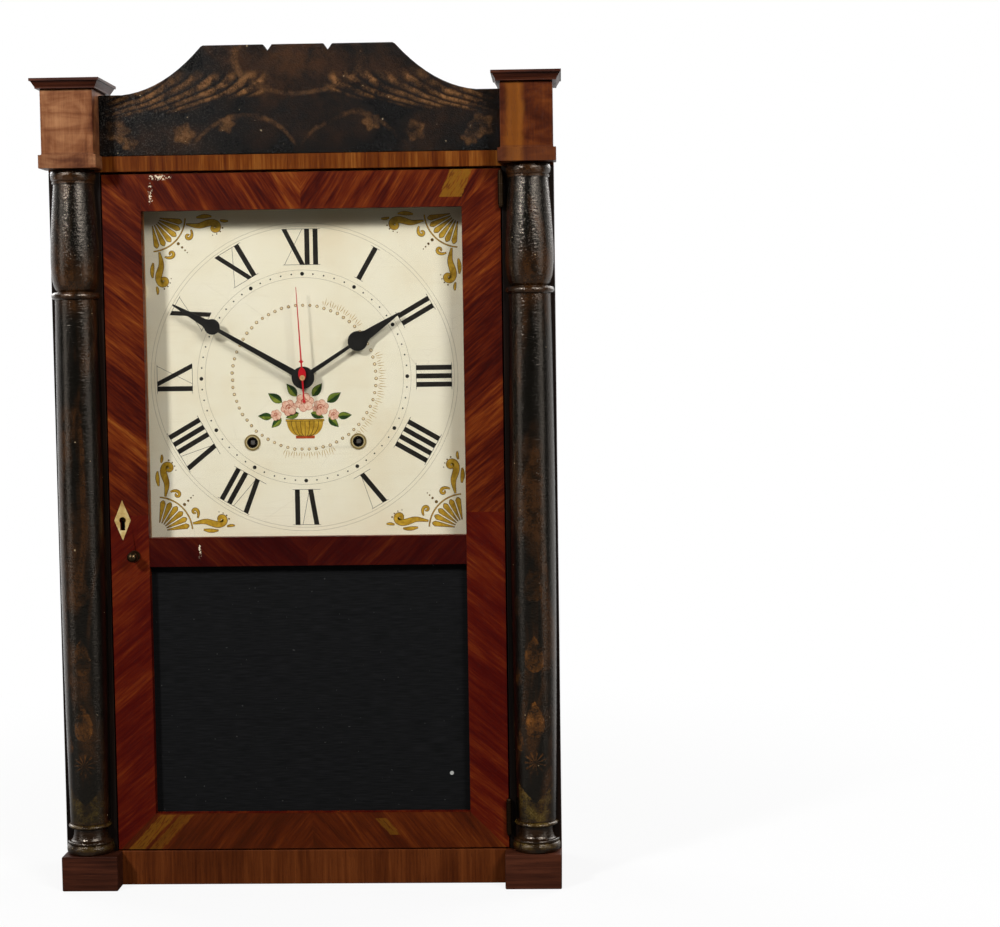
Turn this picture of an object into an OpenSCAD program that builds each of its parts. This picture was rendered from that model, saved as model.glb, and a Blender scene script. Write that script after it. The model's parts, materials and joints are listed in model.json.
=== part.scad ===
// Shelf clock with half columns and a cut splat, battery movement, hinged two-panel door.
// Millimetres. +Z is up, the dial looks along -Y, the origin is the middle of the footprint.

/* [Case] */
// Width over the two front stiles
case_w = 420; // [400:1:460]
// Depth from the front of the door to the back of the backboard
case_depth = 98.5; // [90:0.5:130]
// Thickness of the side boards
side_t = 14; // [10:0.5:18]
// Thickness of the bottom board
bottom_t = 14; // [10:0.5:18]
// Thickness of the backboard
back_t = 8; // [6:0.5:12]
// Thickness of the door and of the front frame
front_t = 16; // [15:0.5:20]
// Width of each front stile behind its half column
stile_w = 43.2; // [41:0.2:50]
// Height of the base rail and of the base blocks
base_h = 29.3; // [26:0.1:50]
// Height of the underside of the bottom board above the shelf
bottom_z = 12; // [4:0.5:14]
// Height of the top rail and of the top board
top_rail_h = 13; // [12:0.5:20]

/* [Blocks and splat] */
// Width of each base block
base_block_w = 47.2; // [44:0.2:52]
// How far the base blocks stand in front of the door
base_block_proj = 20; // [18:0.5:26]
// Height of the capital blocks above the top rail
block_h = 53.8; // [51:0.2:70]
// How far the capital blocks stand in front of the door
block_proj = 21.5; // [20:0.5:28]
// Depth of the capital blocks, front to back
block_depth = 52; // [44:1:60]
// Height of the necking under each capital block
necking_h = 11; // [8:0.5:12.5]
// How far the necking stands out from its block
necking_over = 2.4; // [1:0.2:5]
// Height of the cap on each capital block
cap_h = 8.1; // [6:0.1:14]
// Height of the square slab at the top of the cap
cap_slab_h = 2.2; // [2:0.2:5]
// How far the cap stands out from its block
cap_over = 7; // [4:0.2:12]
// Height of the splat above the top rail
splat_h = 89.7; // [80:0.5:120]
// Thickness of the splat
splat_t = 9; // [6:0.5:14]
// Height of the splat's level ends above the top rail
shoulder_h = 50.2; // [40:0.5:52]
// Half width of the splat's level top
splat_top_half = 80.5; // [60:0.5:100]
// Half width at which the hollow sweep leaves the level ends
sweep_foot_half = 147; // [125:1:160]
// Distance of each notch in the splat's top from the middle
notch_x = 25; // [12:0.5:50]
// Width of each notch
notch_w = 7; // [4:0.5:12]
// Depth of each notch
notch_d = 5; // [2:0.5:10]

/* [Half columns] */
// Distance of each column's axis outward of the middle of its stile
column_out = 0.8; // [0:0.1:1]
// Greatest radius of the shaft
shaft_r = 19.3; // [18:0.1:20]
// Radius of the shaft at its foot
shaft_foot_r = 17; // [15.5:0.1:17.6]
// Radius of the shaft at its top
shaft_top_r = 17.8; // [16:0.1:18.5]
// Height of the foot, under the shaft
foot_h = 26; // [22:0.5:40]
// Radius of the foot's torus
foot_r = 20.2; // [19:0.1:20.4]
// Height of the capital, above the shaft
capital_h = 107.5; // [90:0.5:130]
// Greatest radius of the capital's vase
vase_r = 20.3; // [19:0.1:20.5]
// Radius of the capital's neck
neck_r = 16.8; // [15:0.1:18]
// Radius of the torus at the top of the capital
torus_r = 18.8; // [17.2:0.1:19.6]

/* [Door] */
// Height of the door
door_h = 568.8; // [540:0.2:640]
// Gap beside the door, left and right
door_gap = 1; // [0.8:0.1:1.4]
// Gap under the door
door_gap_low = 1.3; // [1:0.1:3]
// Gap above the door
door_gap_high = 2.1; // [1.5:0.1:4]
// Width of the door's stiles
door_stile_w = 32.3; // [32:0.1:36]
// Height of the door's top rail
door_top_h = 30.5; // [26:0.5:40]
// Height of the door's bottom rail
door_low_h = 30.5; // [26:0.5:40]
// Height of the door's middle rail
door_mid_h = 24.4; // [21:0.2:34]
// Height of the lower opening
tablet_h = 210.2; // [190:0.2:240]
// Width of the rebate behind each opening
rebate_w = 7; // [5:0.5:8]
// Depth of the glass behind the door's front
glass_seat = 8; // [7:0.5:9]
// Thickness of the dial glass
glass_t = 2; // [1.5:0.1:2.4]
// Thickness of the lower panel
tablet_t = 3; // [2:0.1:4]
// Width of the glazing beads
bead_w = 6; // [3:0.2:6.5]

/* [Lock and latch] */
// Height of the keyhole above the shelf
key_z = 311; // [305:0.5:340]
// Distance of the keyhole from the door's left edge
key_inset = 10.3; // [9.6:0.1:11]
// Height of the bone escutcheon
escutcheon_h = 34; // [28:0.5:40]
// Width of the bone escutcheon
escutcheon_w = 14; // [13:0.2:17]
// Thickness of the bone escutcheon, let in flush
escutcheon_t = 1.2; // [0.8:0.1:2]
// Radius of the round part of the keyhole
key_r = 2.8; // [2.2:0.1:3.2]
// Length of the keyhole's slot below the round part
key_slot = 5.6; // [4:0.1:7]
// Height of the lock case
lock_h = 40; // [36:0.5:42]
// Width of the lock case
lock_w = 22; // [20.5:0.5:24]
// Depth of the lock case
lock_t = 7; // [6.5:0.1:8]
// Height of the lock bolt
bolt_h = 8; // [5:0.2:10]
// Thickness of the lock bolt
bolt_t = 3; // [2:0.1:3.6]
// Travel of the lock bolt
bolt_travel = 5; // [3:0.2:6]
// Height of the knob above the shelf
knob_z = 280.8; // [268:0.2:282]
// Distance of the knob from the door's left edge
knob_inset = 19.9; // [18:0.1:22]
// Radius of the knob's ball
knob_r = 4.4; // [3.5:0.1:6]
// Radius of the knob's spindle
spindle_r = 1.9; // [1.5:0.1:2.2]
// Length of the latch tongue from its pivot
latch_len = 27; // [25.5:0.5:30]

/* [Hinges] */
// Height of each hinge
hinge_h = 26; // [18:1:34]
// Distance of each hinge's middle from the end of the door
hinge_inset = 17; // [15:0.5:26]
// Extra distance of the lower hinge, to clear the column's foot
hinge_lift = 9.5; // [9:0.5:20]
// Outer radius of the hinge knuckles
knuckle_r = 2.5; // [2.2:0.1:2.6]
// Radius of the hinge pin
pin_r = 1.2; // [0.8:0.1:1.4]
// Thickness of the hinge leaves
leaf_t = 1; // [0.7:0.1:1.2]

/* [Dial] */
// Depth of the dial's face behind the door's front
dial_d = 24; // [23.5:0.5:28]
// Thickness of the dial board
dial_t = 8; // [6:0.5:9]
// How far the dial reaches past the door opening, all round
dial_over = 13.5; // [11:0.5:15]
// Place of the dial's centre, left or right of the middle
dial_x = -3; // [-6:0.5:6]
// Drop of the dial's centre below the middle of the opening
dial_drop = 3.8; // [0:0.2:8]
// Distance of each winding hole from the dial's centre, sideways
wind_x = 45; // [40:0.5:52]
// Distance of the winding holes below the dial's centre
wind_drop = 54.5; // [52:0.5:60]
// Outer radius of the winding hole's brass rim
grommet_r = 6.8; // [6:0.1:8]
// Radius of the winding hole inside its rim
wind_r = 4; // [3.4:0.1:4.4]
// Width of the upright posts that carry the dial
post_w = 24; // [20:0.5:27]
// Depth of the upright posts
post_depth = 40; // [34:1:48]

/* [Hands] */
// Length of the hour hand
hour_len = 98; // [80:0.5:105]
// Distance of the hour hand's bulb from the centre
hour_bulb_at = 55.5; // [45:0.5:62]
// Radius of the hour hand's bulb
hour_bulb_r = 8.5; // [6:0.1:10]
// Length of the minute hand
minute_len = 125.5; // [112:0.5:126]
// Distance of the minute hand's bulb from the centre
minute_bulb_at = 87.5; // [80:0.5:98]
// Radius of the minute hand's bulb
minute_bulb_r = 6.7; // [5:0.1:8]
// Radius of the discs at the foot of the hour and minute hands
hub_r = 9.4; // [7:0.1:11]
// Length of the second hand
second_len = 76; // [60:0.5:100]
// Length of the second hand's tail
tail_len = 21; // [14:0.5:28]
// Thickness of the hour and minute hands
hand_t = 1; // [0.8:0.1:1.2]

/* [Movement] */
// Width of the movement
move_w = 56; // [54:0.5:62]
// Height of the movement above its centre
move_up = 27; // [26.4:0.2:32]
// Height of the movement below its centre
move_down = 31; // [30.6:0.2:36]
// Thickness of the movement
move_t = 16.4; // [16.2:0.1:20]
// Wall of the movement's two shells
shell_t = 1.5; // [1.2:0.1:1.6]
// Outer radius of the threaded bush
bush_r = 4; // [3.9:0.1:5]
// Outer radius of the hour tube
hour_tube_r = 2.6; // [2.4:0.05:2.8]
// Outer radius of the minute tube
minute_tube_r = 1.7; // [1.5:0.05:1.75]
// Radius of the seconds arbor
arbor_r = 0.5; // [0.4:0.02:0.6]
// Distance of the third wheel's arbor from the centre
third_dist = 12.24; // [12.1:0.02:12.6]
// Distance of the motion wheel's post from the centre
motion_dist = 9.6; // [9.5:0.02:9.9]
// Distance of the fifth wheel's post from the centre
fifth_dist = 8.64; // [8.4:0.02:8.9]
// Distance of the rotor from the fifth wheel's post
rotor_dist = 8.4; // [8.2:0.02:8.6]
// Distance of the setting knob from the motion wheel's post
setting_dist = 10.8; // [10.6:0.02:11.2]
// Radius of the battery
cell_r = 7.25; // [6.8:0.05:7.3]
// Length of the battery
cell_len = 50.5; // [49:0.1:50.6]

/* [Hidden] */
$fn = 48;
// Clearance between pieces that only lie beside each other
clear = 0.3;
// Clearance of a seat or of a driven nail
seat = 0.02;
// Radial clearance of a running fit
run = 0.05;
// Overshoot of a cut past the face that it leaves
over = 1;

// Depths are counted back from the door's front; y_door puts the footprint's middle at the origin
cap_proj = block_proj + cap_over;
y_door = (cap_proj - case_depth) / 2;
function D(d) = y_door + d;

half_w = case_w / 2;
inner_half = half_w - side_t;
stile_in = half_w - stile_w;
column_x = half_w - stile_w / 2 + column_out;
side_back = case_depth - back_t;
door_half = stile_in - door_gap;
door_z = base_h + door_gap_low;
door_top = door_z + door_h;
rail_z = door_top + door_gap_high;
rail_top = rail_z + top_rail_h;
necking_z = rail_top - necking_h;
open_half = door_half - door_stile_w;
tablet_z = door_z + door_low_h;
mid_z = tablet_z + tablet_h;
dial_open_z = mid_z + door_mid_h;
dial_open_top = door_top - door_top_h;
dial_mid_z = (dial_open_z + dial_open_top) / 2;
dial_z = dial_mid_z - dial_drop;
dial_half = open_half + dial_over;
dial_low = dial_open_z - dial_over;
dial_high = dial_open_top + dial_over;
dial_back = dial_d + dial_t;
floor_z = bottom_z + bottom_t;

// Nails through the backboard: rows up each side board
nail_r = 1.4;
nail_head_r = 3;
nail_head_t = 1;
nail_len = 26;
nail_rows = 6;
nail_margin = 40;
nail_x = half_w - side_t / 2;
function nail_z(i) = nail_margin + i * (rail_z - 2 * nail_margin) / (nail_rows - 1);

// Column heights
column_low = base_h;
column_high = necking_z;
shaft_low = column_low + foot_h;
shaft_high = column_high - capital_h;

// Lock and latch
key_x = -door_half + key_inset;
knob_x = -door_half + knob_inset;
key_slot_w = key_r * 1.5;
lock_x = -door_half;
lock_d = front_t - lock_t;
bolt_d = lock_d + (lock_t - bolt_t) / 2;
bolt_back = 5;
bolt_len = lock_w - bolt_back;
bolt_gate_d = 2.2;
keeper_t = 1;
keeper_ear = 10;
keeper_h = bolt_h + 2 * keeper_ear;
keeper_front = 3.4;
keeper_back = 2.4;
lock_plate_t = 1;
latch_d = front_t + clear;
latch_t = 2.6;
latch_w = 8;
latch_hub_r = 5.4;
rose_r = 4.8;
rose_t = 1.4;
rose_gap = 0.1;
knob_neck_r = 2.6;
knob_neck = 4;

// Hinges: the pin stands in front of the gap beside the door
hinge_x = door_half + door_gap / 2;
hinge_d = -(knuckle_r + clear);
hinge_mid = [door_z + hinge_inset + hinge_lift, door_top - hinge_inset];
leaf_margin = 3;
leaf_back = front_t - leaf_margin;
leaf_cut_d = hinge_d + knuckle_r + 2 * clear;
knuckle_gap = 0.1;
knuckle_h = hinge_h / 3;
finial_r = 2.1;

// Dial furniture
dial_bearing = 6;
post_in = dial_half - dial_bearing;
grommet_t = 0.8;
grommet_wall = 1;
grommet_sleeve_r = wind_r + grommet_wall;
wind_z = dial_z - wind_drop;
batten_h = 18;
batten_t = 10;
batten_end = 14;
batten_half = wind_x + batten_end;
wind_arbor_r = 2.5;
wind_square = 3.4;
wind_front = 1.5;
wind_shoulder = 3;
button_rise = 70;
button_out = 9;
button_z = dial_mid_z + button_rise;
button_x = dial_half + button_out;
button_len = 21;
button_w = 10;
button_t = 3.7;
button_boss_r = 6;
button_screw_r = 1.5;
button_head_r = 3.2;
button_head_t = 1.2;
button_slot = [0.8, 0.7];
button_screw_len = 14;

// Movement: levels are depths behind the movement's front face, which lies on the dial's back
function U(u) = dial_back + u;
bush_proud = 4.4;
bush_front = dial_d - bush_proud;
washer_t = 0.8;
washer_rim = 4.5;
washer_r = bush_r + washer_rim;
nut_t = 3;
nut_wall = 3;
nut_r = bush_r + nut_wall;
hour_hand_off = 6.6;
minute_hand_off = 9.8;
second_hand_off = 12.4;
hour_hand_d = dial_d - hour_hand_off;
minute_hand_d = dial_d - minute_hand_off;
second_hand_d = dial_d - second_hand_off;
second_t = 0.6;
second_boss_r = 2.2;
second_boss_t = 2;
hour_stem = [2.1, 1.4];
minute_stem = [2.8, 1.6];
hand_tip = 0.7;
spade_waist = [0.45, 0.9];
hour_angle = 57;
minute_angle = 300;
second_angle = 357;
hour_level = [2, 3];
motion_level = [3.8, 4.8];
cannon_level = [3.6, 5.2];
motion_pinion_level = [1.9, 3.4];
centre_level = [6, 6.8];
third_pinion_level = [5.8, 7.1];
third_level = [8.4, 9.2];
seconds_pinion_level = [8.2, 9.4];
seconds_level = [10.4, 11.2];
fifth_pinion_level = [10.2, 11.5];
fifth_level = [12.4, 13];
rotor_pinion_level = [12.2, 13.2];
magnet_level = [7.4, 11];
stator_level = [8.6, 9.6];
board_level = [10.4, 11.4];

// Tooth counts of each wheel and pinion
hour_teeth = 40;
motion_pinion_teeth = 10;
motion_teeth = 36;
cannon_teeth = 12;
centre_teeth = 64;
third_pinion_teeth = 8;
third_teeth = 60;
seconds_pinion_teeth = 8;
seconds_teeth = 40;
fifth_pinion_teeth = 8;
fifth_teeth = 48;
rotor_pinion_teeth = 8;
setting_teeth = 18;

// Modules follow from the distances between the arbors
function mesh_module(dist, za, zb) = 2 * dist / (za + zb);
third_m = mesh_module(third_dist, third_teeth, seconds_pinion_teeth);
centre_m = mesh_module(third_dist, centre_teeth, third_pinion_teeth);
motion_m = mesh_module(motion_dist, motion_teeth, cannon_teeth);
hour_m = mesh_module(motion_dist, hour_teeth, motion_pinion_teeth);
seconds_m = mesh_module(fifth_dist, seconds_teeth, fifth_pinion_teeth);
fifth_m = mesh_module(rotor_dist, fifth_teeth, rotor_pinion_teeth);
setting_m = mesh_module(setting_dist, motion_teeth, setting_teeth);

// Arbor places, as [x, z] from the movement's centre, and the bearings they lie on
third_dir = 150;
motion_dir = -15;
fifth_dir = 60;
rotor_dir = 20;
setting_dir = 20;
function polar(r, a) = [r * cos(a), r * sin(a)];
third_at = polar(third_dist, third_dir);
motion_at = polar(motion_dist, motion_dir);
fifth_at = polar(fifth_dist, fifth_dir);
rotor_at = fifth_at + polar(rotor_dist, rotor_dir);
setting_at = motion_at + polar(setting_dist, setting_dir);
pivot_r = 0.4;
tube_tail = 0.4;
stout_arbor_r = 0.7;
pivot_len = 1;
end_shake = 0.1;
arbor_levels = [shell_t + end_shake, move_t - shell_t - end_shake];
pivot_levels = [arbor_levels[0] - pivot_len, arbor_levels[1] + pivot_len];
setting_r = 1.2;
setting_knob_r = 6;
setting_knob_t = 4.5;
magnet_r = 2.8;
cell_floor_gap = 0.2;
cell_z = -move_down + shell_t + cell_r + cell_floor_gap;
cell_wall_z = cell_z + cell_r + clear;
cell_wall_t = 1;
contact_t = 0.5;
contact_back = 1;
coil_r = 3.3;
stator_x = [3, 24];
stator_z = [5.6, 24.6];
coil_z = 21.2;
core_w = 2;
stator_leg = 4;
stator_window = 0.4;
magnet_gap = 0.5;
coil_end = 0.2;
board_x = [-25, -5];
board_z = [9, 25];
shell_post_r = 1.4;

wood = "#5a2514";
dark_wood = "#3a1710";
light_wood = "#8a4a1e";
pine = "#b98a55";
black_paint = "#1b1a19";
brass = "#b08d3c";
iron = "#5b5753";
bone = "#d9cdb4";
cream = "#efe6d0";
plastic = "#2b2b2d";
gilt = "#c9a227";

// A range about its middle, a range moved along, and its two ends drawn in by a post's radius
function span(mid, half) = [mid - half, mid + half];
function shifted(range, by) = [range[0] + by, range[1] + by];
function inset_ends(range) = [range[0] + shell_post_r, range[1] - shell_post_r];

// A box between two corners, with y given as a depth behind the door's front
module slab(x, d, z) {
    translate([x[0], D(d[0]), z[0]]) cube([x[1] - x[0], d[1] - d[0], z[1] - z[0]]);
}

// A round rod along Y at x, z, between two depths
module rod(x, z, d, r) {
    translate([x, D(d[1]), z]) rotate([90, 0, 0]) cylinder(h = d[1] - d[0], r = r);
}

// A flat outline in x and z, drawn about x, z and filling two depths
module plate(x, z, d) {
    translate([x, D(d[1]), z]) rotate([90, 0, 0]) linear_extrude(d[1] - d[0]) children();
}

// Both sides: the children as drawn on the right, and mirrored to the left
module both_sides() {
    children();
    mirror([1, 0, 0]) children();
}

// Points on a curve with one control point, leaving out the first
function curve(a, c, b, steps) = [
    for (i = [1 : steps]) let (t = i / steps) a * (1 - t) * (1 - t) + c * 2 * t * (1 - t) + b * t * t
];

// Points of a half-round bead of a profile, from one height to another
function bead(r_in, r_out, z0, z1, steps = 8, first = 0) = [
    for (i = [first : steps]) let (a = 180 * i / steps)
        [r_in + (r_out - r_in) * sin(a), z0 + (z1 - z0) * (1 - cos(a)) / 2]
];

// Points of the left side of an outline, from those of its right side
function mirrored(points) = [for (i = [len(points) - 1 : -1 : 0]) [-points[i][0], points[i][1]]];

// Outline of a wheel or pinion with straight-sided teeth, the first tooth at angle phase
gear_tip = 0.7;
gear_root = 1.05;
tooth_tip = 0.22;
tooth_root = 0.5;
module gear_outline(teeth, m, phase = 0) {
    pitch_r = m * teeth / 2;
    tip_r = pitch_r + gear_tip * m;
    root_r = pitch_r - gear_root * m;
    tip_a = asin(tooth_tip * m / tip_r);
    root_a = asin(tooth_root * m / root_r);
    polygon([
        for (i = [0 : teeth - 1], k = [0 : 3]) let (a = phase + 360 * i / teeth)
            polar([root_r, tip_r, tip_r, root_r][k], a + [-root_a, -tip_a, tip_a, root_a][k])
    ]);
}

// Phase of a wheel that meshes with another one of known phase, in direction dir from it
function mesh_phase(dir, phase_a, za, zb) = dir + 180 + (dir - phase_a) * za / zb + 180 / zb;

module at_centre(d) { plate(dial_x, dial_z, d) children(); }
module wheel_at(p, u) { plate(dial_x + p[0], dial_z + p[1], [U(u[0]), U(u[1])]) children(); }
module arbor_at(p, u, r) { rod(dial_x + p[0], dial_z + p[1], [U(u[0]), U(u[1])], r); }

// Case
module nails(r_extra) {
    both_sides() for (i = [0 : nail_rows - 1]) {
        rod(nail_x, nail_z(i), [case_depth - nail_len, case_depth], nail_r + r_extra);
        rod(nail_x, nail_z(i), [case_depth - nail_head_t, case_depth + r_extra], nail_head_r + r_extra);
    }
}
module side_board() {
    difference() {
        slab([inner_half, half_w], [front_t, side_back], [0, rail_z]);
        nails(seat);
    }
}
module case_side_right() { color(wood) side_board(); }
module case_side_left() { color(wood) mirror([1, 0, 0]) side_board(); }
module case_top() { color(pine) slab([-half_w, half_w], [front_t, side_back], [rail_z, rail_top]); }
module case_bottom() {
    color(pine) slab([-inner_half, inner_half], [front_t, side_back], [bottom_z, floor_z]);
}
module backboard() {
    color(pine) difference() {
        slab([-half_w, half_w], [side_back, case_depth], [0, rail_top]);
        nails(seat);
    }
}
module backboard_nails() { color(iron) nails(0); }
module base_rail() { color(wood) slab([-half_w, half_w], [0, front_t], [0, base_h]); }
module top_rail() { color(light_wood) slab([-half_w, half_w], [0, front_t], [rail_z, rail_top]); }

module front_stile() { slab([stile_in, half_w], [0, front_t], [base_h, rail_z]); }
module front_stiles() {
    color(dark_wood) difference() {
        both_sides() front_stile();
        for (z = hinge_mid)
            slab([stile_in - over, stile_in + leaf_t], [-over, leaf_back], span(z, hinge_h / 2));
        keeper_blank(over);
        bolt_path(bolt_travel + clear, clear);
    }
}

// Base blocks, capital blocks with their necking, and caps
module base_blocks() {
    color(dark_wood) both_sides() slab([half_w - base_block_w, half_w], [-base_block_proj, 0], [0, base_h]);
}
module capital_blocks() {
    n = necking_over;
    color(light_wood) both_sides() union() {
        slab([stile_in, half_w], [-block_proj, block_depth - block_proj], [rail_top, rail_top + block_h]);
        slab([stile_in - n, half_w + n], [-block_proj - n, 0], [necking_z, rail_top]);
    }
}
module block_caps() {
    low = rail_top + block_h;
    slab_low = low + cap_h - cap_slab_h;
    edge = 0.01;
    fillet = 1;
    bead_in = cap_over * 0.55;
    color(wood) both_sides() union() {
        cap_layer(cap_over, slab_low, low + cap_h);
        hull() {
            cap_layer(cap_over - fillet, slab_low - edge, slab_low);
            cap_layer(cap_over - bead_in, low + fillet, low + fillet + edge);
        }
        cap_layer(cap_over - bead_in, low, low + fillet);
    }
}
module cap_layer(o, z0, z1) {
    slab([stile_in - o, half_w + o], [-block_proj - o, block_depth - block_proj + o], [z0, z1]);
}

// Splat: a hollow sweep each side of a level top with two notches
splat_corner = [2, 1];
splat_hollow = [-1.75, 3.3];
function splat_side() =
    let (foot = [sweep_foot_half, shoulder_h])
    let (top = [splat_top_half, splat_h - splat_corner[1]])
    let (bend = [(sweep_foot_half + splat_top_half) / 2, shoulder_h] + splat_hollow)
    concat(
        [[stile_in - clear, 0], [stile_in - clear, shoulder_h], foot],
        curve(foot, bend, top, 10),
        [[splat_top_half - splat_corner[0], splat_h], [notch_x + notch_w / 2, splat_h],
         [notch_x, splat_h - notch_d], [notch_x - notch_w / 2, splat_h]]
    );
module splat() {
    color(black_paint) plate(0, rail_top, [0, splat_t])
        polygon(concat(splat_side(), mirrored(splat_side())));
}

// Half columns: foot with torus, fillet, scotia and ring; swelling shaft; capital with ring, vase and torus
module column_profile() {
    torus_h = foot_h * 0.32;
    band_h = foot_h * 0.1;
    ring_h = foot_h * 0.18;
    band_low = column_low + torus_h;
    scotia_low = band_low + band_h;
    ring_low = shaft_low - ring_h;
    collar_h = 6.6;
    vase_low = shaft_high + collar_h;
    head_h = 10;
    head_low = column_high - head_h;
    fillet_h = 2;
    vase_high = head_low - fillet_h;
    belly_z = vase_low + (vase_high - vase_low) * 0.3;
    swell_r = 2 * shaft_r - (shaft_foot_r + shaft_top_r) / 2;
    scotia_r = shaft_foot_r - 2.6;
    quirk = 2;
    band_in = 0.9;
    ring_out = 1.4;
    collar_in = 0.6;
    collar_out = 0.2;
    fillet_out = 1;
    vase_rise = 4;
    vase_pull = 18;
    polygon(concat(
        [[0, column_low], [foot_r - quirk, column_low]],
        bead(foot_r - quirk, foot_r, column_low, band_low),
        bead(foot_r - quirk, foot_r - band_in, band_low, scotia_low, first = 1),
        curve([foot_r - quirk, scotia_low], [scotia_r, scotia_low], [scotia_r, ring_low], 6),
        bead(scotia_r, shaft_foot_r + ring_out, ring_low, shaft_low),
        [[shaft_foot_r, shaft_low]],
        curve([shaft_foot_r, shaft_low], [swell_r, (shaft_low + shaft_high) / 2],
              [shaft_top_r, shaft_high], 14),
        bead(shaft_top_r - collar_in, vase_r + collar_out, shaft_high, vase_low),
        [[neck_r - fillet_out, vase_low]],
        curve([neck_r - fillet_out, vase_low], [vase_r, vase_low + vase_rise], [vase_r, belly_z], 6),
        curve([vase_r, belly_z], [vase_r, belly_z + vase_pull], [neck_r, vase_high], 8),
        [[neck_r + fillet_out, vase_high], [neck_r + fillet_out, head_low]],
        bead(neck_r, torus_r, head_low, column_high),
        [[0, column_high]]
    ));
}
module half_column(x) {
    behind = 30;
    difference() {
        translate([x, D(0), 0]) rotate_extrude($fn = 64) column_profile();
        slab([x - behind, x + behind], [0, behind], [column_low - over, column_high + over]);
    }
}
module half_column_right() { color(black_paint) half_column(column_x); }
module half_column_left() { color(black_paint) half_column(-column_x); }

// Dial, the posts that carry it, and what sits in it
module dial_posts() {
    color(pine) both_sides() difference() {
        slab([post_in, post_in + post_w], [dial_back, dial_back + post_depth], [floor_z, rail_z]);
        button_screw(seat);
    }
}
module dial_board() {
    color(cream) difference() {
        slab([-dial_half, dial_half], [dial_d, dial_back], [dial_low, dial_high]);
        rod(dial_x, dial_z, [dial_d - over, dial_back + over], bush_r + clear / 2);
        for (s = [-1, 1])
            rod(dial_x + s * wind_x, wind_z, [dial_d - over, dial_back + over], grommet_sleeve_r + seat);
    }
}
module winding_grommets() {
    color(brass) for (s = [-1, 1]) difference() {
        union() {
            rod(dial_x + s * wind_x, wind_z, [dial_d - grommet_t, dial_d], grommet_r);
            rod(dial_x + s * wind_x, wind_z, [dial_d - grommet_t, dial_back], grommet_sleeve_r);
        }
        rod(dial_x + s * wind_x, wind_z, [dial_d - over - grommet_t, dial_back + over], wind_r);
    }
}
module arbor_batten() {
    color(pine) difference() {
        slab([dial_x - batten_half, dial_x + batten_half], [dial_back, dial_back + batten_t],
             [wind_z - batten_h / 2, wind_z + batten_h / 2]);
        for (s = [-1, 1])
            rod(dial_x + s * wind_x, wind_z, [dial_back - over, dial_back + batten_t + over],
                wind_arbor_r + seat);
    }
}
module winding_arbors() {
    shoulder = dial_back - wind_shoulder;
    half = wind_square / 2;
    color(iron) for (s = [-1, 1]) union() {
        rod(dial_x + s * wind_x, wind_z, [shoulder, dial_back + batten_t], wind_arbor_r);
        slab(span(dial_x + s * wind_x, half), [dial_d + wind_front, shoulder + over],
             span(wind_z, half));
    }
}

// Turn-buttons that hold the dial against its posts, each on a screw
module button_screw(r_extra) {
    rod(button_x, button_z, [dial_d - button_t - clear, dial_back + button_screw_len],
        button_screw_r + r_extra);
}
module button(side) {
    low = dial_d - button_t;
    inward = -side * button_len;
    difference() {
        union() {
            rod(side * button_x, button_z, [low, dial_back - clear], button_boss_r);
            translate([side * button_x + min(0, inward), D(low), button_z - button_w / 2])
                cube([button_len, button_t - clear, button_w]);
        }
        mirror([side < 0 ? 1 : 0, 0, 0]) button_screw(run);
    }
}
module button_screws() {
    low = dial_d - button_t - clear;
    color(brass) both_sides() union() {
        button_screw(0);
        difference() {
            rod(button_x, button_z, [low - button_head_t, low], button_head_r);
            slab(span(button_x, button_head_r), shifted([-over, button_slot[1]], low - button_head_t),
                 span(button_z, button_slot[0] / 2));
        }
    }
}
module dial_button_right() { color(light_wood) button(1); }
module dial_button_left() { color(light_wood) button(-1); }

// Door
module rebate(z0, z1) {
    w = open_half + rebate_w;
    slab([-w, w], [glass_seat, front_t + over], [z0 - rebate_w, z1 + rebate_w]);
}
module rebates() {
    rebate(tablet_z, mid_z);
    rebate(dial_open_z, dial_open_top);
}
module keyhole_outline(extra) {
    circle(r = key_r + extra);
    translate([-key_slot_w / 2 - extra, -key_r - key_slot - extra])
        square([key_slot_w + 2 * extra, key_r + key_slot]);
}
module keyhole(d, extra) { plate(key_x, key_z, d) keyhole_outline(extra); }
module escutcheon_outline(extra) {
    a = escutcheon_w / 2 + extra;
    b = escutcheon_h / 2 + extra;
    polygon([[a, 0], [0, b], [-a, 0], [0, -b]]);
}
module lock_blank(extra) {
    slab([lock_x - extra, lock_x + lock_w], [lock_d, front_t + extra], span(key_z, lock_h / 2));
}
module bolt_path(travel, extra) {
    slab([lock_x + clear - travel, lock_x + clear + bolt_len + extra],
         [bolt_d - extra, bolt_d + bolt_t + extra],
         span(key_z, bolt_h / 2 + extra));
}
module keeper_blank(extra) {
    slab([-stile_in - keeper_t, -stile_in + extra],
         [bolt_d - keeper_front, bolt_d + bolt_t + keeper_back],
         span(key_z, keeper_h / 2));
}
module door_stile_left() {
    color(wood) difference() {
        slab([-door_half, -open_half], [0, front_t], [door_z, door_top]);
        rebates();
        lock_blank(over);
        keyhole([-over, front_t], 0);
        plate(key_x, key_z, [-over, escutcheon_t]) escutcheon_outline(seat);
        rod(knob_x, knob_z, [-over, front_t + over], spindle_r + run);
    }
}
module door_stile_right() {
    color(wood) difference() {
        slab([open_half, door_half], [0, front_t], [door_z, door_top]);
        rebates();
        for (z = hinge_mid)
            slab([door_half - leaf_t, door_half + over], [-over, leaf_back], span(z, hinge_h / 2));
    }
}
module door_rail(z0, z1) {
    color(wood) difference() {
        slab([-open_half, open_half], [0, front_t], [z0, z1]);
        rebates();
    }
}
module door_rail_top() { door_rail(dial_open_top, door_top); }
module door_rail_mid() { door_rail(mid_z, dial_open_z); }
module door_rail_bottom() { door_rail(door_z, tablet_z); }
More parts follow.
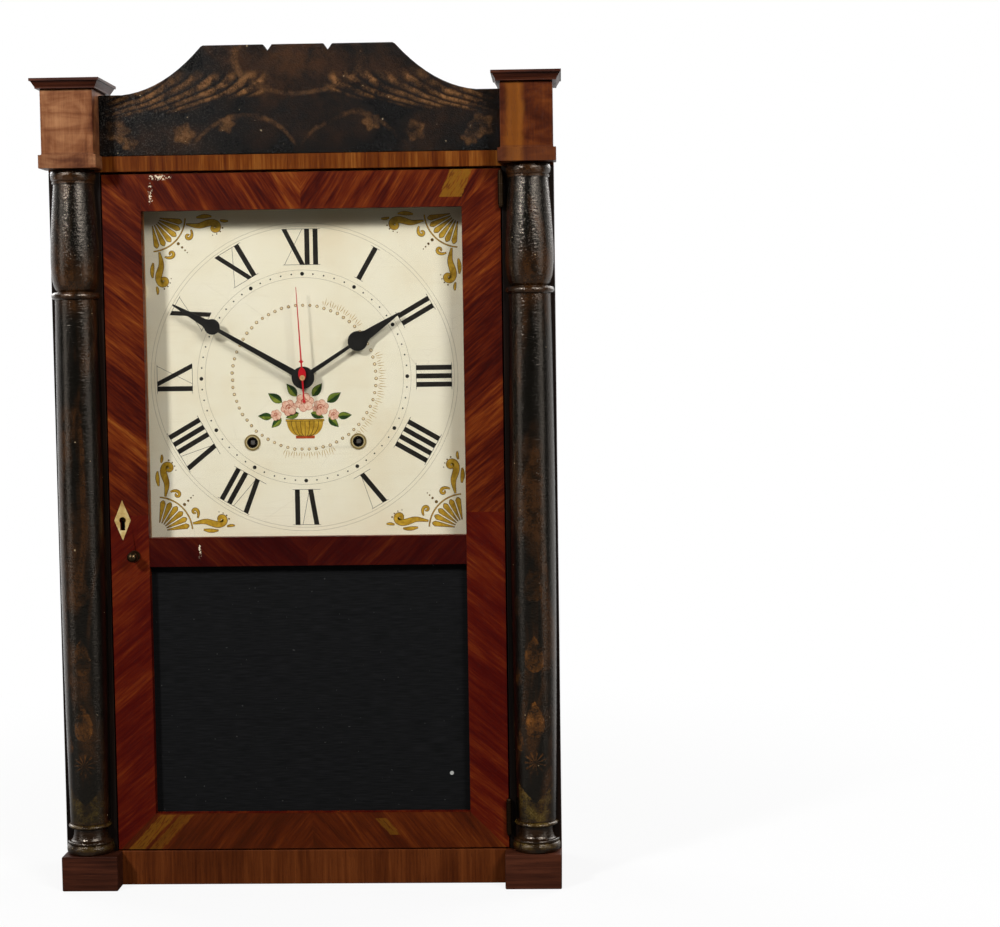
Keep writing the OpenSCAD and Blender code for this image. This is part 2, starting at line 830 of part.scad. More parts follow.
module pane(t, z0, z1) {
    w = open_half + rebate_w - clear;
    slab([-w, w], [glass_seat, glass_seat + t], [z0 - rebate_w + clear, z1 + rebate_w - clear]);
}
module dial_glass() { color([0.8, 0.9, 0.9, 0.3]) pane(glass_t, dial_open_z, dial_open_top); }
module tablet_panel() { color(black_paint) pane(tablet_t, tablet_z, mid_z); }

// Four glazing beads behind one pane, upright ones between the level ones
module bead_set(t, z0, z1) {
    out = open_half + rebate_w - clear;
    low = z0 - rebate_w + clear;
    high = z1 + rebate_w - clear;
    d = [glass_seat + t, front_t - clear];
    slab([-out, out], d, [low, low + bead_w]);
    slab([-out, out], d, [high - bead_w, high]);
    both_sides() slab([out - bead_w, out], d, [low + bead_w + clear, high - bead_w - clear]);
}
module glazing_beads() {
    color(pine) {
        bead_set(glass_t, dial_open_z, dial_open_top);
        bead_set(tablet_t, tablet_z, mid_z);
    }
}

// Lock, escutcheon and latch
module escutcheon() {
    color(bone) plate(key_x, key_z, [0, escutcheon_t]) difference() {
        escutcheon_outline(0);
        keyhole_outline(0);
    }
}
module lock_case() {
    color(iron) difference() {
        lock_blank(0);
        bolt_path(over, run);
        keyhole([lock_d - over, front_t - lock_plate_t], 0);
    }
}
module lock_bolt() {
    color(brass) difference() {
        bolt_path(0, 0);
        slab([key_x - key_r - bolt_travel, key_x + key_r],
             [bolt_d - over, bolt_d + bolt_t + over],
             [key_z - bolt_h / 2 - over, key_z - bolt_h / 2 + bolt_gate_d]);
    }
}
module lock_keeper() {
    color(brass) difference() {
        keeper_blank(0);
        bolt_path(bolt_travel + over, clear);
    }
}
module door_knob() {
    reach = [-rose_t - knob_neck - knob_r, latch_d + latch_t];
    color(brass) union() {
        rod(knob_x, knob_z, [-rose_t, reach[1]], spindle_r);
        rod(knob_x, knob_z, [-rose_t - rose_gap, -rose_gap], rose_r);
        rod(knob_x, knob_z, [reach[0], -rose_t], knob_neck_r);
        translate([knob_x, D(reach[0]), knob_z]) sphere(r = knob_r);
    }
}
module latch_tongue() {
    color(brass) plate(knob_x, knob_z, [latch_d, latch_d + latch_t]) difference() {
        union() {
            circle(r = latch_hub_r);
            translate([-latch_w / 2, -latch_len]) square([latch_w, latch_len]);
        }
        circle(r = spindle_r + seat);
    }
}

// Hinges: each has three knuckles, the middle one on the door's leaf
module knuckle(z, k) {
    low = z - hinge_h / 2 + k * knuckle_h + knuckle_gap / 2;
    translate([hinge_x, D(hinge_d), low]) cylinder(h = knuckle_h - knuckle_gap, r = knuckle_r);
}
module hinge_leaf(z, x0, knuckles, gaps) {
    difference() {
        union() {
            slab([x0, x0 + leaf_t], [hinge_d, leaf_back], span(z, hinge_h / 2));
            for (k = knuckles) knuckle(z, k);
        }
        for (k = gaps) {
            low = z - hinge_h / 2 + k * knuckle_h - knuckle_gap / 2;
            slab([x0 - leaf_t, x0 + 2 * leaf_t], [hinge_d - over, leaf_cut_d],
                 [low - (k == 0 ? over : 0), low + knuckle_h + knuckle_gap + (k == 2 ? over : 0)]);
        }
        translate([hinge_x, D(hinge_d), z - hinge_h]) cylinder(h = 2 * hinge_h, r = pin_r + run);
    }
}
module hinge_leaves_case() { color(brass) for (z = hinge_mid) hinge_leaf(z, stile_in, [0, 2], [1]); }
module hinge_leaves_door() {
    color(brass) for (z = hinge_mid) hinge_leaf(z, door_half - leaf_t, [1], [0, 2]);
}
module hinge_pins() {
    reach = hinge_h / 2 + run;
    color(brass) for (z = hinge_mid) translate([hinge_x, D(hinge_d), z]) union() {
        translate([0, 0, -reach]) cylinder(h = 2 * reach, r = pin_r);
        for (s = [-1, 1]) translate([0, 0, s * (reach + finial_r / 2)]) intersection() {
            sphere(r = finial_r);
            translate([0, 0, s * finial_r / 2]) cube(2 * finial_r, center = true);
        }
        for (s = [-1, 1]) translate([0, 0, s * (reach + finial_r / 4)])
            cylinder(h = finial_r / 2, r = finial_r, center = true);
    }
}

// Movement shells: the front one carries the bush, posts and pivot holes, the back one the battery bay
module move_box(u, inset) {
    w = move_w / 2 - inset;
    slab(span(dial_x, w), [U(u[0]), U(u[1])], [dial_z - move_down + inset, dial_z + move_up - inset]);
}
split_u = move_t / 2;
module movement_shell_front() {
    color(plastic) difference() {
        union() {
            difference() {
                move_box([0, split_u], 0);
                move_box([shell_t, split_u + over], shell_t);
            }
            slab(span(dial_x, move_w / 2 - shell_t), [U(shell_t), U(split_u)],
                 shifted([cell_wall_z, cell_wall_z + cell_wall_t], dial_z));
            rod(dial_x, dial_z, [bush_front, U(shell_t)], bush_r);
            arbor_at(motion_at, [0, motion_level[1]], arbor_r + run);
            for (x = inset_ends(stator_x))
                arbor_at([x, stator_z[1] - shell_post_r], [0, stator_level[0]], shell_post_r);
            for (x = inset_ends(board_x))
                arbor_at([x, board_z[1] - shell_post_r], [0, board_level[0]], shell_post_r);
        }
        rod(dial_x, dial_z, [bush_front - over, U(shell_t) + over], hour_tube_r + run);
        for (p = [third_at, rotor_at, setting_at])
            arbor_at(p, [shell_t - pivot_len, shell_t + over], pivot_r + run);
    }
}
module movement_shell_back() {
    cell_w = cell_len / 2 + contact_t + clear;
    slot_gap = 0.1;
    color(plastic) difference() {
        union() {
            difference() {
                move_box([split_u, move_t], 0);
                move_box([split_u - over, move_t - shell_t], shell_t);
            }
            slab(span(dial_x, move_w / 2 - shell_t), [U(split_u), U(move_t - shell_t)],
                 shifted([cell_wall_z, cell_wall_z + cell_wall_t], dial_z));
            arbor_at(fifth_at, [fifth_pinion_level[0], move_t], arbor_r);
        }
        slab(span(dial_x, cell_w), [U(move_t - shell_t) - over, U(move_t) + over],
             span(dial_z + cell_z, cell_r + slot_gap));
        for (p = [third_at, rotor_at, [0, 0]])
            arbor_at(p, [move_t - shell_t - over, move_t - shell_t + pivot_len], pivot_r + run);
        arbor_at(setting_at, [move_t - shell_t - over, move_t + over], setting_r + run);
    }
}
module bush_washer() {
    color(brass) at_centre([dial_d - washer_t, dial_d]) difference() {
        circle(r = washer_r);
        circle(r = bush_r + run);
    }
}
module bush_nut() {
    front = dial_d - washer_t;
    color(brass) at_centre([front - nut_t, front]) difference() {
        circle(r = nut_r, $fn = 6);
        circle(r = bush_r + seat, $fn = 48);
    }
}

// Drive: rotor, stator, coil, circuit board and battery
module stator() {
    inner_w = stator_x[1] - stator_x[0] - 2 * stator_leg;
    color(iron) difference() {
        wheel_at([0, 0], stator_level) difference() {
            translate([stator_x[0], stator_z[0]])
                square([stator_x[1] - stator_x[0], stator_z[1] - stator_z[0]]);
            translate([stator_x[0] + stator_leg, coil_z - coil_r - stator_window])
                square([inner_w, coil_r + stator_window - core_w / 2]);
            translate([stator_x[0] + stator_leg, coil_z + core_w / 2]) square([inner_w, stator_z[1]]);
        }
        arbor_at(rotor_at, [stator_level[0] - over, stator_level[1] + over], magnet_r + magnet_gap);
    }
}
module coil() {
    leg = stator_leg + coil_end;
    mid_u = (stator_level[0] + stator_level[1]) / 2;
    half_t = (stator_level[1] - stator_level[0]) / 2 + run;
    half_core = core_w / 2 + run;
    len = stator_x[1] - stator_x[0] - 2 * leg;
    color("#a5522a") difference() {
        translate([dial_x + stator_x[0] + leg, D(U(mid_u)), dial_z + coil_z]) rotate([0, 90, 0])
            cylinder(h = len, r = coil_r);
        slab(shifted(stator_x, dial_x), span(U(mid_u), half_t), span(dial_z + coil_z, half_core));
    }
}
module circuit_board() {
    chip_r = 5;
    chip_h = 1.2;
    color("#2f5a38") union() {
        wheel_at([board_x[0], board_z[0]], board_level)
            square([board_x[1] - board_x[0], board_z[1] - board_z[0]]);
        wheel_at([(board_x[0] + board_x[1]) / 2, (board_z[0] + board_z[1]) / 2], board_level + [0, chip_h])
            circle(r = chip_r);
    }
}
module battery() {
    mid_u = (move_t + shell_t) / 2;
    nub = 1;
    nub_r = 2.7;
    color(gilt) translate([dial_x - cell_len / 2, D(U(mid_u)), dial_z + cell_z]) rotate([0, 90, 0]) union() {
        cylinder(h = cell_len - nub, r = cell_r);
        cylinder(h = cell_len, r = nub_r);
    }
}
module battery_contacts() {
    reach = 4;
    color(iron) for (s = [-1, 1]) {
        x = s * (cell_len / 2 + run + contact_t / 2);
        slab(span(dial_x + x, contact_t / 2), [U(shell_t), U(move_t - shell_t - contact_back)],
             span(dial_z + cell_z, reach));
    }
}

// Train and motion work
seconds_pinion_phase = 0;
third_phase = mesh_phase(third_dir, seconds_pinion_phase, seconds_pinion_teeth, third_teeth);
third_pinion_phase = 0;
centre_phase = mesh_phase(third_dir + 180, third_pinion_phase, third_pinion_teeth, centre_teeth);
cannon_phase = 0;
motion_phase = mesh_phase(motion_dir, cannon_phase, cannon_teeth, motion_teeth);
motion_pinion_phase = 0;
hour_phase = mesh_phase(motion_dir + 180, motion_pinion_phase, motion_pinion_teeth, hour_teeth);
setting_phase = mesh_phase(setting_dir, motion_phase, motion_teeth, setting_teeth);
seconds_phase = 0;
fifth_pinion_phase = mesh_phase(fifth_dir, seconds_phase, seconds_teeth, fifth_pinion_teeth);
fifth_phase = 0;
rotor_phase = mesh_phase(rotor_dir, fifth_phase, fifth_teeth, rotor_pinion_teeth);

module hour_wheel() {
    color(brass) difference() {
        union() {
            wheel_at([0, 0], hour_level) gear_outline(hour_teeth, hour_m, hour_phase);
            rod(dial_x, dial_z, [hour_hand_d, U(hour_level[1])], hour_tube_r);
        }
        rod(dial_x, dial_z, [hour_hand_d - over, U(hour_level[1]) + over], minute_tube_r + run);
    }
}
module centre_wheel() {
    color(brass) difference() {
        union() {
            wheel_at([0, 0], centre_level) gear_outline(centre_teeth, centre_m, centre_phase);
            wheel_at([0, 0], cannon_level) gear_outline(cannon_teeth, motion_m, cannon_phase);
            rod(dial_x, dial_z, [minute_hand_d, U(centre_level[1]) + tube_tail], minute_tube_r);
        }
        rod(dial_x, dial_z, [minute_hand_d - over, U(centre_level[1]) + over], arbor_r + run);
    }
}
module seconds_wheel() {
    color(brass) union() {
        wheel_at([0, 0], seconds_level) gear_outline(seconds_teeth, seconds_m, seconds_phase);
        wheel_at([0, 0], seconds_pinion_level)
            gear_outline(seconds_pinion_teeth, third_m, seconds_pinion_phase);
        rod(dial_x, dial_z, [second_hand_d, U(move_t - shell_t - end_shake)], arbor_r);
        rod(dial_x, dial_z, [U(seconds_level[1]), U(move_t - shell_t + pivot_len - end_shake)], pivot_r);
    }
}
module third_wheel() {
    color(brass) union() {
        wheel_at(third_at, third_level) gear_outline(third_teeth, third_m, third_phase);
        wheel_at(third_at, third_pinion_level)
            gear_outline(third_pinion_teeth, centre_m, third_pinion_phase);
        arbor_at(third_at, arbor_levels, stout_arbor_r);
        arbor_at(third_at, pivot_levels, pivot_r);
    }
}
module motion_wheel() {
    color(brass) difference() {
        union() {
            wheel_at(motion_at, motion_level) gear_outline(motion_teeth, motion_m, motion_phase);
            wheel_at(motion_at, [motion_pinion_level[0], motion_level[1]])
                gear_outline(motion_pinion_teeth, hour_m, motion_pinion_phase);
        }
        arbor_at(motion_at, [0, motion_level[1] + over], arbor_r + 2 * run);
    }
}
module fifth_wheel() {
    color(brass) difference() {
        union() {
            wheel_at(fifth_at, fifth_level) gear_outline(fifth_teeth, fifth_m, fifth_phase);
            wheel_at(fifth_at, [fifth_pinion_level[0], fifth_level[1]])
                gear_outline(fifth_pinion_teeth, seconds_m, fifth_pinion_phase);
        }
        arbor_at(fifth_at, [fifth_pinion_level[0] - over, move_t], arbor_r + run);
    }
}
module rotor() {
    color(iron) union() {
        wheel_at(rotor_at, rotor_pinion_level) gear_outline(rotor_pinion_teeth, fifth_m, rotor_phase);
        arbor_at(rotor_at, magnet_level, magnet_r);
        arbor_at(rotor_at, arbor_levels, arbor_r);
        arbor_at(rotor_at, pivot_levels, pivot_r);
    }
}
module setting_knob() {
    knob_u = [move_t + clear, move_t + clear + setting_knob_t];
    grips = 16;
    grip_r = 0.8;
    grip_out = 0.4;
    color(plastic) difference() {
        union() {
            wheel_at(setting_at, motion_level) gear_outline(setting_teeth, setting_m, setting_phase);
            arbor_at(setting_at, [shell_t + end_shake, knob_u[0]], setting_r);
            arbor_at(setting_at, [shell_t - pivot_len + end_shake, shell_t + pivot_len], pivot_r);
            arbor_at(setting_at, knob_u, setting_knob_r);
        }
        for (i = [0 : grips - 1])
            arbor_at(setting_at + polar(setting_knob_r + grip_out, i * 360 / grips),
                     knob_u + [-end_shake, over], grip_r);
    }
}

// Hands: outlines point up, the module turns them to where they stand
function spade_side(len, bulb_at, bulb_r, stem, tip) = let (waist = bulb_at + bulb_r) concat(
    [[stem[0], 0], [stem[1], bulb_at - bulb_r]],
    [for (a = [-70 : 20 : 50]) [0, bulb_at] + bulb_r * [cos(a), sin(a)]],
    curve(bulb_r * [cos(60), sin(60)] + [0, bulb_at], [0, waist] + bulb_r * spade_waist, [tip, len], 8)
);
module spade(len, bulb_at, bulb_r, stem) {
    side = spade_side(len, bulb_at, bulb_r, stem, hand_tip);
    polygon(concat(side, mirrored(side)));
}
module hour_hand() {
    color(black_paint) at_centre([hour_hand_d, hour_hand_d + hand_t]) difference() {
        union() {
            circle(r = hub_r);
            rotate(-hour_angle) spade(hour_len, hour_bulb_at, hour_bulb_r, hour_stem);
        }
        circle(r = hour_tube_r + seat);
    }
}
module minute_hand() {
    color(black_paint) at_centre([minute_hand_d, minute_hand_d + hand_t]) difference() {
        union() {
            circle(r = hub_r);
            rotate(-minute_angle) spade(minute_len, minute_bulb_at, minute_bulb_r, minute_stem);
        }
        circle(r = minute_tube_r + seat);
    }
}
module second_hand() {
    hub = [3.2, 5.6];
    hub_at = 3;
    lozenge = [2, 1.9];
    lozenge_at = 13.6;
    needle = [0.75, 0.25];
    tail = 0.6;
    tail_dot_r = 1.3;
    color("#b01822") difference() {
        union() {
            at_centre([second_hand_d, second_hand_d + second_t]) rotate(-second_angle) union() {
                polygon([[tail, tail_dot_r - tail_len], [needle[0], 0], [needle[1], second_len],
                         [-needle[1], second_len], [-needle[0], 0], [-tail, tail_dot_r - tail_len]]);
                polygon([for (a = [0 : 15 : 345]) [hub[0] * cos(a), hub_at + hub[1] * sin(a)]]);
                translate([0, lozenge_at])
                    polygon([[lozenge[0], 0], [0, lozenge[1]], [-lozenge[0], 0], [0, -lozenge[1]]]);
                translate([0, tail_dot_r - tail_len]) circle(r = tail_dot_r);
            }
            rod(dial_x, dial_z, [second_hand_d, second_hand_d + second_boss_t], second_boss_r);
        }
        rod(dial_x, dial_z, [second_hand_d - over, second_hand_d + second_boss_t + over], arbor_r + seat);
    }
}

case_side_left();
case_side_right();
case_top();
case_bottom();
backboard();
backboard_nails();
front_stiles();
base_rail();
top_rail();
base_blocks();
capital_blocks();
block_caps();
splat();
half_column_left();
half_column_right();
dial_posts();
dial_board();
winding_grommets();
arbor_batten();
winding_arbors();
lock_keeper();
hinge_leaves_case();
movement_shell_front();
movement_shell_back();
bush_washer();
bush_nut();
stator();
coil();
circuit_board();
battery();
battery_contacts();
door_stile_left();
door_stile_right();
door_rail_top();
door_rail_mid();
door_rail_bottom();
dial_glass();
tablet_panel();
glazing_beads();
escutcheon();
lock_case();
hinge_leaves_door();
hinge_pins();
lock_bolt();
door_knob();
latch_tongue();
dial_button_left();
dial_button_right();
button_screws();
hour_hand();
hour_wheel();
minute_hand();
centre_wheel();
second_hand();
seconds_wheel();
third_wheel();
motion_wheel();
fifth_wheel();
rotor();
setting_knob();
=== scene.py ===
import json
import math
import random

import bmesh
import bpy
from mathutils import Matrix, Vector


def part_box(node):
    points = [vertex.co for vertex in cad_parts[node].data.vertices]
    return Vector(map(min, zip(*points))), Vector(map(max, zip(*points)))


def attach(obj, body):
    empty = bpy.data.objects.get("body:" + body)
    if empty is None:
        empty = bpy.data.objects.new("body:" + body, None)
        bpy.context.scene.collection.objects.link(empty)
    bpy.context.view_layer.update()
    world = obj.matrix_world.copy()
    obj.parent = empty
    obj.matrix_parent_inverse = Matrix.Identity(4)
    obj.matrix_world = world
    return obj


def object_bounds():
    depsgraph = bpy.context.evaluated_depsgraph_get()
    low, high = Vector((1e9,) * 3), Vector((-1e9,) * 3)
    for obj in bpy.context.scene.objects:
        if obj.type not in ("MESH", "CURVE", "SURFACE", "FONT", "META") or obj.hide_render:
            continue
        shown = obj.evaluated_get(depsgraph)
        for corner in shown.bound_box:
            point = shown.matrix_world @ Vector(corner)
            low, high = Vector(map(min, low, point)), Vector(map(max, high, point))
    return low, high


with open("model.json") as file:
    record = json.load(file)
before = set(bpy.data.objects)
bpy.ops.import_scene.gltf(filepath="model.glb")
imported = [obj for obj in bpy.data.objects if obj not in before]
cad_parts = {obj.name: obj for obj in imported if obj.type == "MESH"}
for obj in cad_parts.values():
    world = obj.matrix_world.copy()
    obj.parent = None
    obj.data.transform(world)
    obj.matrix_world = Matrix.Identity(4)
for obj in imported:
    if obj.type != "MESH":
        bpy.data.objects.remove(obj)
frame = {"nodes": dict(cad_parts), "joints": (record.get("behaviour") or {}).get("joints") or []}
cad_low, cad_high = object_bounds()

# Measures of the clock, read from the frame, in metres
MM = 0.001
joints = {joint["name"]: joint for joint in frame["joints"]}
dial_x, _, dial_z = joints["minute_spin"]["pos_m"]
dial_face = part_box("dial_board")[0].y
open_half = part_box("door_stile_right")[0].x
dial_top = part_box("door_rail_top")[0].z
dial_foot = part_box("door_rail_mid")[1].z
tablet_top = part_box("door_rail_mid")[0].z
tablet_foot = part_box("door_rail_bottom")[1].z
door_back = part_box("door_rail_mid")[1].y
splat_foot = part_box("splat")[0].z
case_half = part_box("case_top")[1].x
column_foot, column_top = (corner.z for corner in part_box("half_column_right"))
column_x = sum(corner.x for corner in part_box("half_column_right")) / 2
column_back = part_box("half_column_right")[1].y


def srgb(red, green, blue):
    """A colour from everyday 0 to 255 values."""
    shares = (value / 255 for value in (red, green, blue))
    return tuple(((c + 0.055) / 1.055) ** 2.4 if c > 0.04 else c / 12.92 for c in shares)


class Value:
    """One socket of a finish. Sums on it add Math nodes to that finish."""

    def __init__(self, nodes, socket):
        self.nodes = nodes
        self.socket = socket

    def sum(self, operation, *terms):
        return self.nodes.add("ShaderNodeMath", {"operation": operation}, dict(enumerate(terms)))

    def __add__(self, other):
        return self.sum("ADD", self, other)

    def __radd__(self, other):
        return self.sum("ADD", other, self)

    def __sub__(self, other):
        return self.sum("SUBTRACT", self, other)

    def __rsub__(self, other):
        return self.sum("SUBTRACT", other, self)

    def __mul__(self, other):
        return self.sum("MULTIPLY", self, other)

    def __rmul__(self, other):
        return self.sum("MULTIPLY", other, self)

    def __truediv__(self, other):
        return self.sum("DIVIDE", self, other)

    def __rtruediv__(self, other):
        return self.sum("DIVIDE", other, self)

    def __pow__(self, other):
        return self.sum("POWER", self, other)

    def __gt__(self, other):
        return self.sum("GREATER_THAN", self, other)

    def __lt__(self, other):
        return self.sum("LESS_THAN", self, other)

    def __abs__(self):
        return self.sum("ABSOLUTE", self)

    def angle(self, other):
        return self.sum("ARCTAN2", self, other)

    def sine(self):
        return self.sum("SINE", self)

    def fraction(self):
        return self.sum("FRACT", self)

    def upto(self, other):
        return self.sum("MINIMUM", self, other)

    def atleast(self, other):
        return self.sum("MAXIMUM", self, other)


class Nodes:
    """A shader's node tree, filled node by node."""

    def __init__(self, tree):
        self.tree = tree

    def fill(self, socket, value):
        if isinstance(value, Value):
            self.tree.links.new(value.socket, socket)
        elif isinstance(value, tuple) and len(value) == 3 and len(socket.default_value) == 4:
            socket.default_value = (*value, 1.0)
        else:
            socket.default_value = value

    def add(self, kind, settings=None, sockets=None, out=0):
        """Adds a node of that type: its settings first, then its sockets; gives one output."""
        made = self.tree.nodes.new(kind)
        for key, value in (settings or {}).items():
            if key == "stops":
                ramp = made.color_ramp.elements
                while len(ramp) < len(value):
                    ramp.new(1.0)
                for stop, (place, colour) in zip(ramp, value):
                    stop.position = place
                    stop.color = (*colour, 1.0)
            else:
                setattr(made, key, value)
        for key, value in (sockets or {}).items():
            self.fill(made.inputs[key], value)
        return Value(self, made.outputs[out])

    def place(self):
        return self.add("ShaderNodeTexCoord", out="Object")

    def axis(self, vector, name):
        return self.add("ShaderNodeSeparateXYZ", None, {0: vector}, name)

    def vector(self, x, y, z):
        return self.add("ShaderNodeCombineXYZ", None, {0: x, 1: y, 2: z})

    def scaled(self, vector, scale):
        return self.add("ShaderNodeMapping", None, {"Vector": vector, "Scale": scale})

    def noise(self, vector, scale, detail, rough, bend=0.0):
        sockets = {"Vector": vector, "Scale": scale, "Detail": detail}
        sockets.update({"Roughness": rough, "Distortion": bend})
        return self.add("ShaderNodeTexNoise", None, sockets)

    def stretched(self, vector, scale, detail, rough, bend=0.0):
        """Noise with a scale for each axis."""
        return self.noise(self.scaled(vector, scale), 1.0, detail, rough, bend)

    def cell_edges(self, vector, scale):
        """Distance from the nearest edge between cells, such as cracks in paint."""
        settings = {"feature": "DISTANCE_TO_EDGE"}
        return self.add("ShaderNodeTexVoronoi", settings, {"Vector": vector, "Scale": scale})

    def rise(self, value, low, high):
        """Nought below low, one above high, and a smooth slope between them."""
        settings = {"interpolation_type": "SMOOTHSTEP"}
        return self.add("ShaderNodeMapRange", settings, {"Value": value, "From Min": low, "From Max": high})

    def band(self, value, low, high, soft):
        """One between low and high, with soft edges."""
        return self.rise(value, low - soft, low) * (1 - self.rise(value, high, high + soft))

    def mix(self, share, first, second):
        return self.add("ShaderNodeMix", {"data_type": "RGBA"}, {0: share, 6: first, 7: second}, 2)

    def ramp(self, value, stops):
        return self.add("ShaderNodeValToRGB", {"stops": stops}, {0: value})


class Finish(Nodes):
    """A procedural material with its own shader."""

    def __init__(self, name, **constants):
        self.material = bpy.data.materials.new(name)
        self.material.use_nodes = True
        super().__init__(self.material.node_tree)
        self.shader = self.tree.nodes["Principled BSDF"]
        self.look = Value(self, self.shader.outputs[0])
        for key, value in constants.items():
            self.set(key.replace("_", " "), value)

    def set(self, socket, value):
        self.fill(self.shader.inputs[socket], value)

    def relief(self, height, strength, distance):
        """Bumps of the surface, as high as distance where height is one."""
        sockets = {"Height": height, "Strength": strength, "Distance": distance}
        self.set("Normal", self.add("ShaderNodeBump", None, sockets))

    def blend(self, share, first, second):
        """Shows the first shader, and the second by its share."""
        made = self.add("ShaderNodeMixShader", None, {0: share, 1: first, 2: second})
        self.tree.links.new(made.socket, self.tree.nodes["Material Output"].inputs["Surface"])


# Finishes of wood
GRAIN_SCALES = {
    "x": lambda along, across: (along, across, across),
    "z": lambda along, across: (across, across, along),
}
PORE_DARK = srgb(20, 6, 3)
END_STAIN = srgb(58, 24, 12)
END_STAIN_FROM, END_STAIN_TO = 3 * MM, 0.5 * MM


def wood_figure(finish, grain):
    """Ribbons, fine lines and pores of a wood whose grain runs along one axis."""
    place = finish.place()
    scale = GRAIN_SCALES[grain]
    ribbon = finish.stretched(place, scale(5, 75), 5.0, 0.6, 0.5)
    line = finish.stretched(place, scale(22, 700), 3.0, 0.6)
    pore = finish.rise(finish.stretched(place, scale(140, 2600), 2.0, 0.5), 0.6, 0.72)
    return ribbon, line, pore


def varnish(finish, line, pore, gloss):
    """Roughness and relief of varnished wood, from its lines and pores."""
    smudge = finish.noise(finish.place(), 30.0, 3.0, 0.6)
    finish.set("Roughness", gloss + line * 0.12 + pore * 0.25 + smudge * 0.12)
    finish.relief(line * 0.35 - pore * 0.8 + smudge * 0.5, 0.35, 0.00025)


def wood(name, tones, grain, gloss=0.3, patch=0.35, sheen=0.08, ends=None):
    """A varnished or bare wood, from dark lines to light ones; past ends, if given, it is stained."""
    finish = Finish(name, Specular_IOR_Level=sheen)
    place = finish.place()
    ribbon, line, pore = wood_figure(finish, grain)
    cloud = finish.noise(place, 8.0, 3.0, 0.6)
    depth = ribbon * 0.6 + line * 0.5 + (cloud - 0.5) * patch - 0.05
    steps = len(tones) - 1
    colour = finish.ramp(depth, [(0.34 + 0.36 * i / steps, tone) for i, tone in enumerate(tones)])
    if ends:
        stain = finish.rise(abs(finish.axis(place, "X")), ends - END_STAIN_FROM, ends - END_STAIN_TO)
        colour = finish.mix(stain * (0.75 + cloud * 0.2), colour, END_STAIN)
    finish.set("Base Color", finish.mix(pore * 0.55, colour, PORE_DARK))
    varnish(finish, line, pore, gloss)
    return finish


NECK_HEIGHT = 12.8 * MM
# Tones of the left block: a paler veneer, lightened further by a painted sheen
PALE_AND_SHEEN_BLOCK = [
    (0.30, srgb(74, 34, 14)),
    (0.46, srgb(120, 72, 42)),
    (0.58, srgb(148, 99, 64)),
    (0.72, srgb(174, 124, 84)),
]
DARK_BLOCK = [(0.3, srgb(38, 8, 1)), (0.5, srgb(72, 28, 6)), (0.7, srgb(104, 50, 14))]


def block_veneer():
    """Veneer of the two capital blocks: the left one paler, a lighter veneer with a painted sheen, the right
    one dark with a golden stripe.
    """
    finish = Finish("block_veneer", Specular_IOR_Level=0.1)
    ribbon, line, pore = wood_figure(finish, "z")
    place = finish.place()
    side = finish.axis(place, "X")
    cloud = finish.stretched(place, (26, 26, 20), 4.0, 0.6, 0.8)
    smear = finish.stretched(place, (14, 14, 70), 3.0, 0.5, 1.6)
    depth = ribbon * 0.25 + line * 0.2 + cloud * 0.95 + smear * 0.5 - 0.45
    pale = finish.ramp(depth, PALE_AND_SHEEN_BLOCK)
    dark = finish.ramp(depth, DARK_BLOCK)
    wander = (cloud - 0.5) * (16 * MM)
    stripe = finish.band(side - column_x + wander, -14 * MM, -7 * MM, 6 * MM)
    dark = finish.mix(stripe * 0.7, dark, finish.mix(ribbon, srgb(84, 38, 6), srgb(168, 100, 30)))
    # The left block takes the pale tones, which hold a painted sheen
    colour = finish.mix(side > 0.0, pale, dark)
    neck = finish.axis(place, "Z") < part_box("capital_blocks")[0].z + NECK_HEIGHT
    colour = finish.mix(neck * 0.3, colour, srgb(84, 50, 34))
    finish.set("Base Color", finish.mix(pore * 0.4, colour, PORE_DARK))
    varnish(finish, line, pore, 0.3)
    return finish


# Door veneer: laid slantwise on the stiles, mitred at the corners
VENEER_JOINT = 315 * MM
BACK_SKIN = 1 * MM
VENEER_TONES = [
    (0.24, srgb(28, 2, 0)),
    (0.42, srgb(56, 8, 2)),
    (0.54, srgb(81, 23, 4)),
    (0.66, srgb(108, 44, 10)),
    (0.80, srgb(138, 76, 25)),
]
SAPWOOD = srgb(124, 82, 18)
# Strips of sapwood: foot, top, the two edges at the foot, lean and strength
SAPWOOD_STRIPS = [
    (577 * MM, 603 * MM, 116 * MM, 133 * MM, 0.42, 1.0),
    (30 * MM, 60 * MM, -157 * MM, -145 * MM, 0.95, 0.6),
    (30 * MM, 60 * MM, -140 * MM, -130 * MM, 0.95, 0.4),
    (42 * MM, 56 * MM, 66 * MM, 74 * MM, -0.9, 0.5),
]
CHIP_WHITE = srgb(226, 210, 180)
# Flaked spots: where each lies across and up, and how far it spreads each way
FLAKED_SPOTS = [
    (-90.5 * MM, 284 * MM, 1.6 * MM, 7 * MM),
    (-125 * MM, 583 * MM, 2.4 * MM, 9 * MM),
    (-117 * MM, 597 * MM, 10 * MM, 3 * MM),
]


def slanted_strip(finish, across, up, foot, top, left, right, lean, strength):
    """A ragged strip of another veneer that leans over as it rises."""
    ragged = finish.noise(finish.place(), 180.0, 3.0, 0.6) - 0.5
    shifted = across - (up - foot) * lean + ragged * (4 * MM)
    return finish.band(shifted, left, right, 1.5 * MM) * finish.band(up, foot, top, 0.3 * MM) * strength


def flaked(finish, across, up, middle, level, wide, tall):
    """Small flecks of white ground where the varnish has flaked."""
    away = (((across - middle) / wide) ** 2 + ((up - level) / tall) ** 2) ** 0.5
    fleck = finish.noise(finish.place(), 620.0, 2.0, 0.7)
    return finish.rise(fleck - away * 0.12, 0.46, 0.52) * (1 - finish.rise(away, 0.8, 1.1))


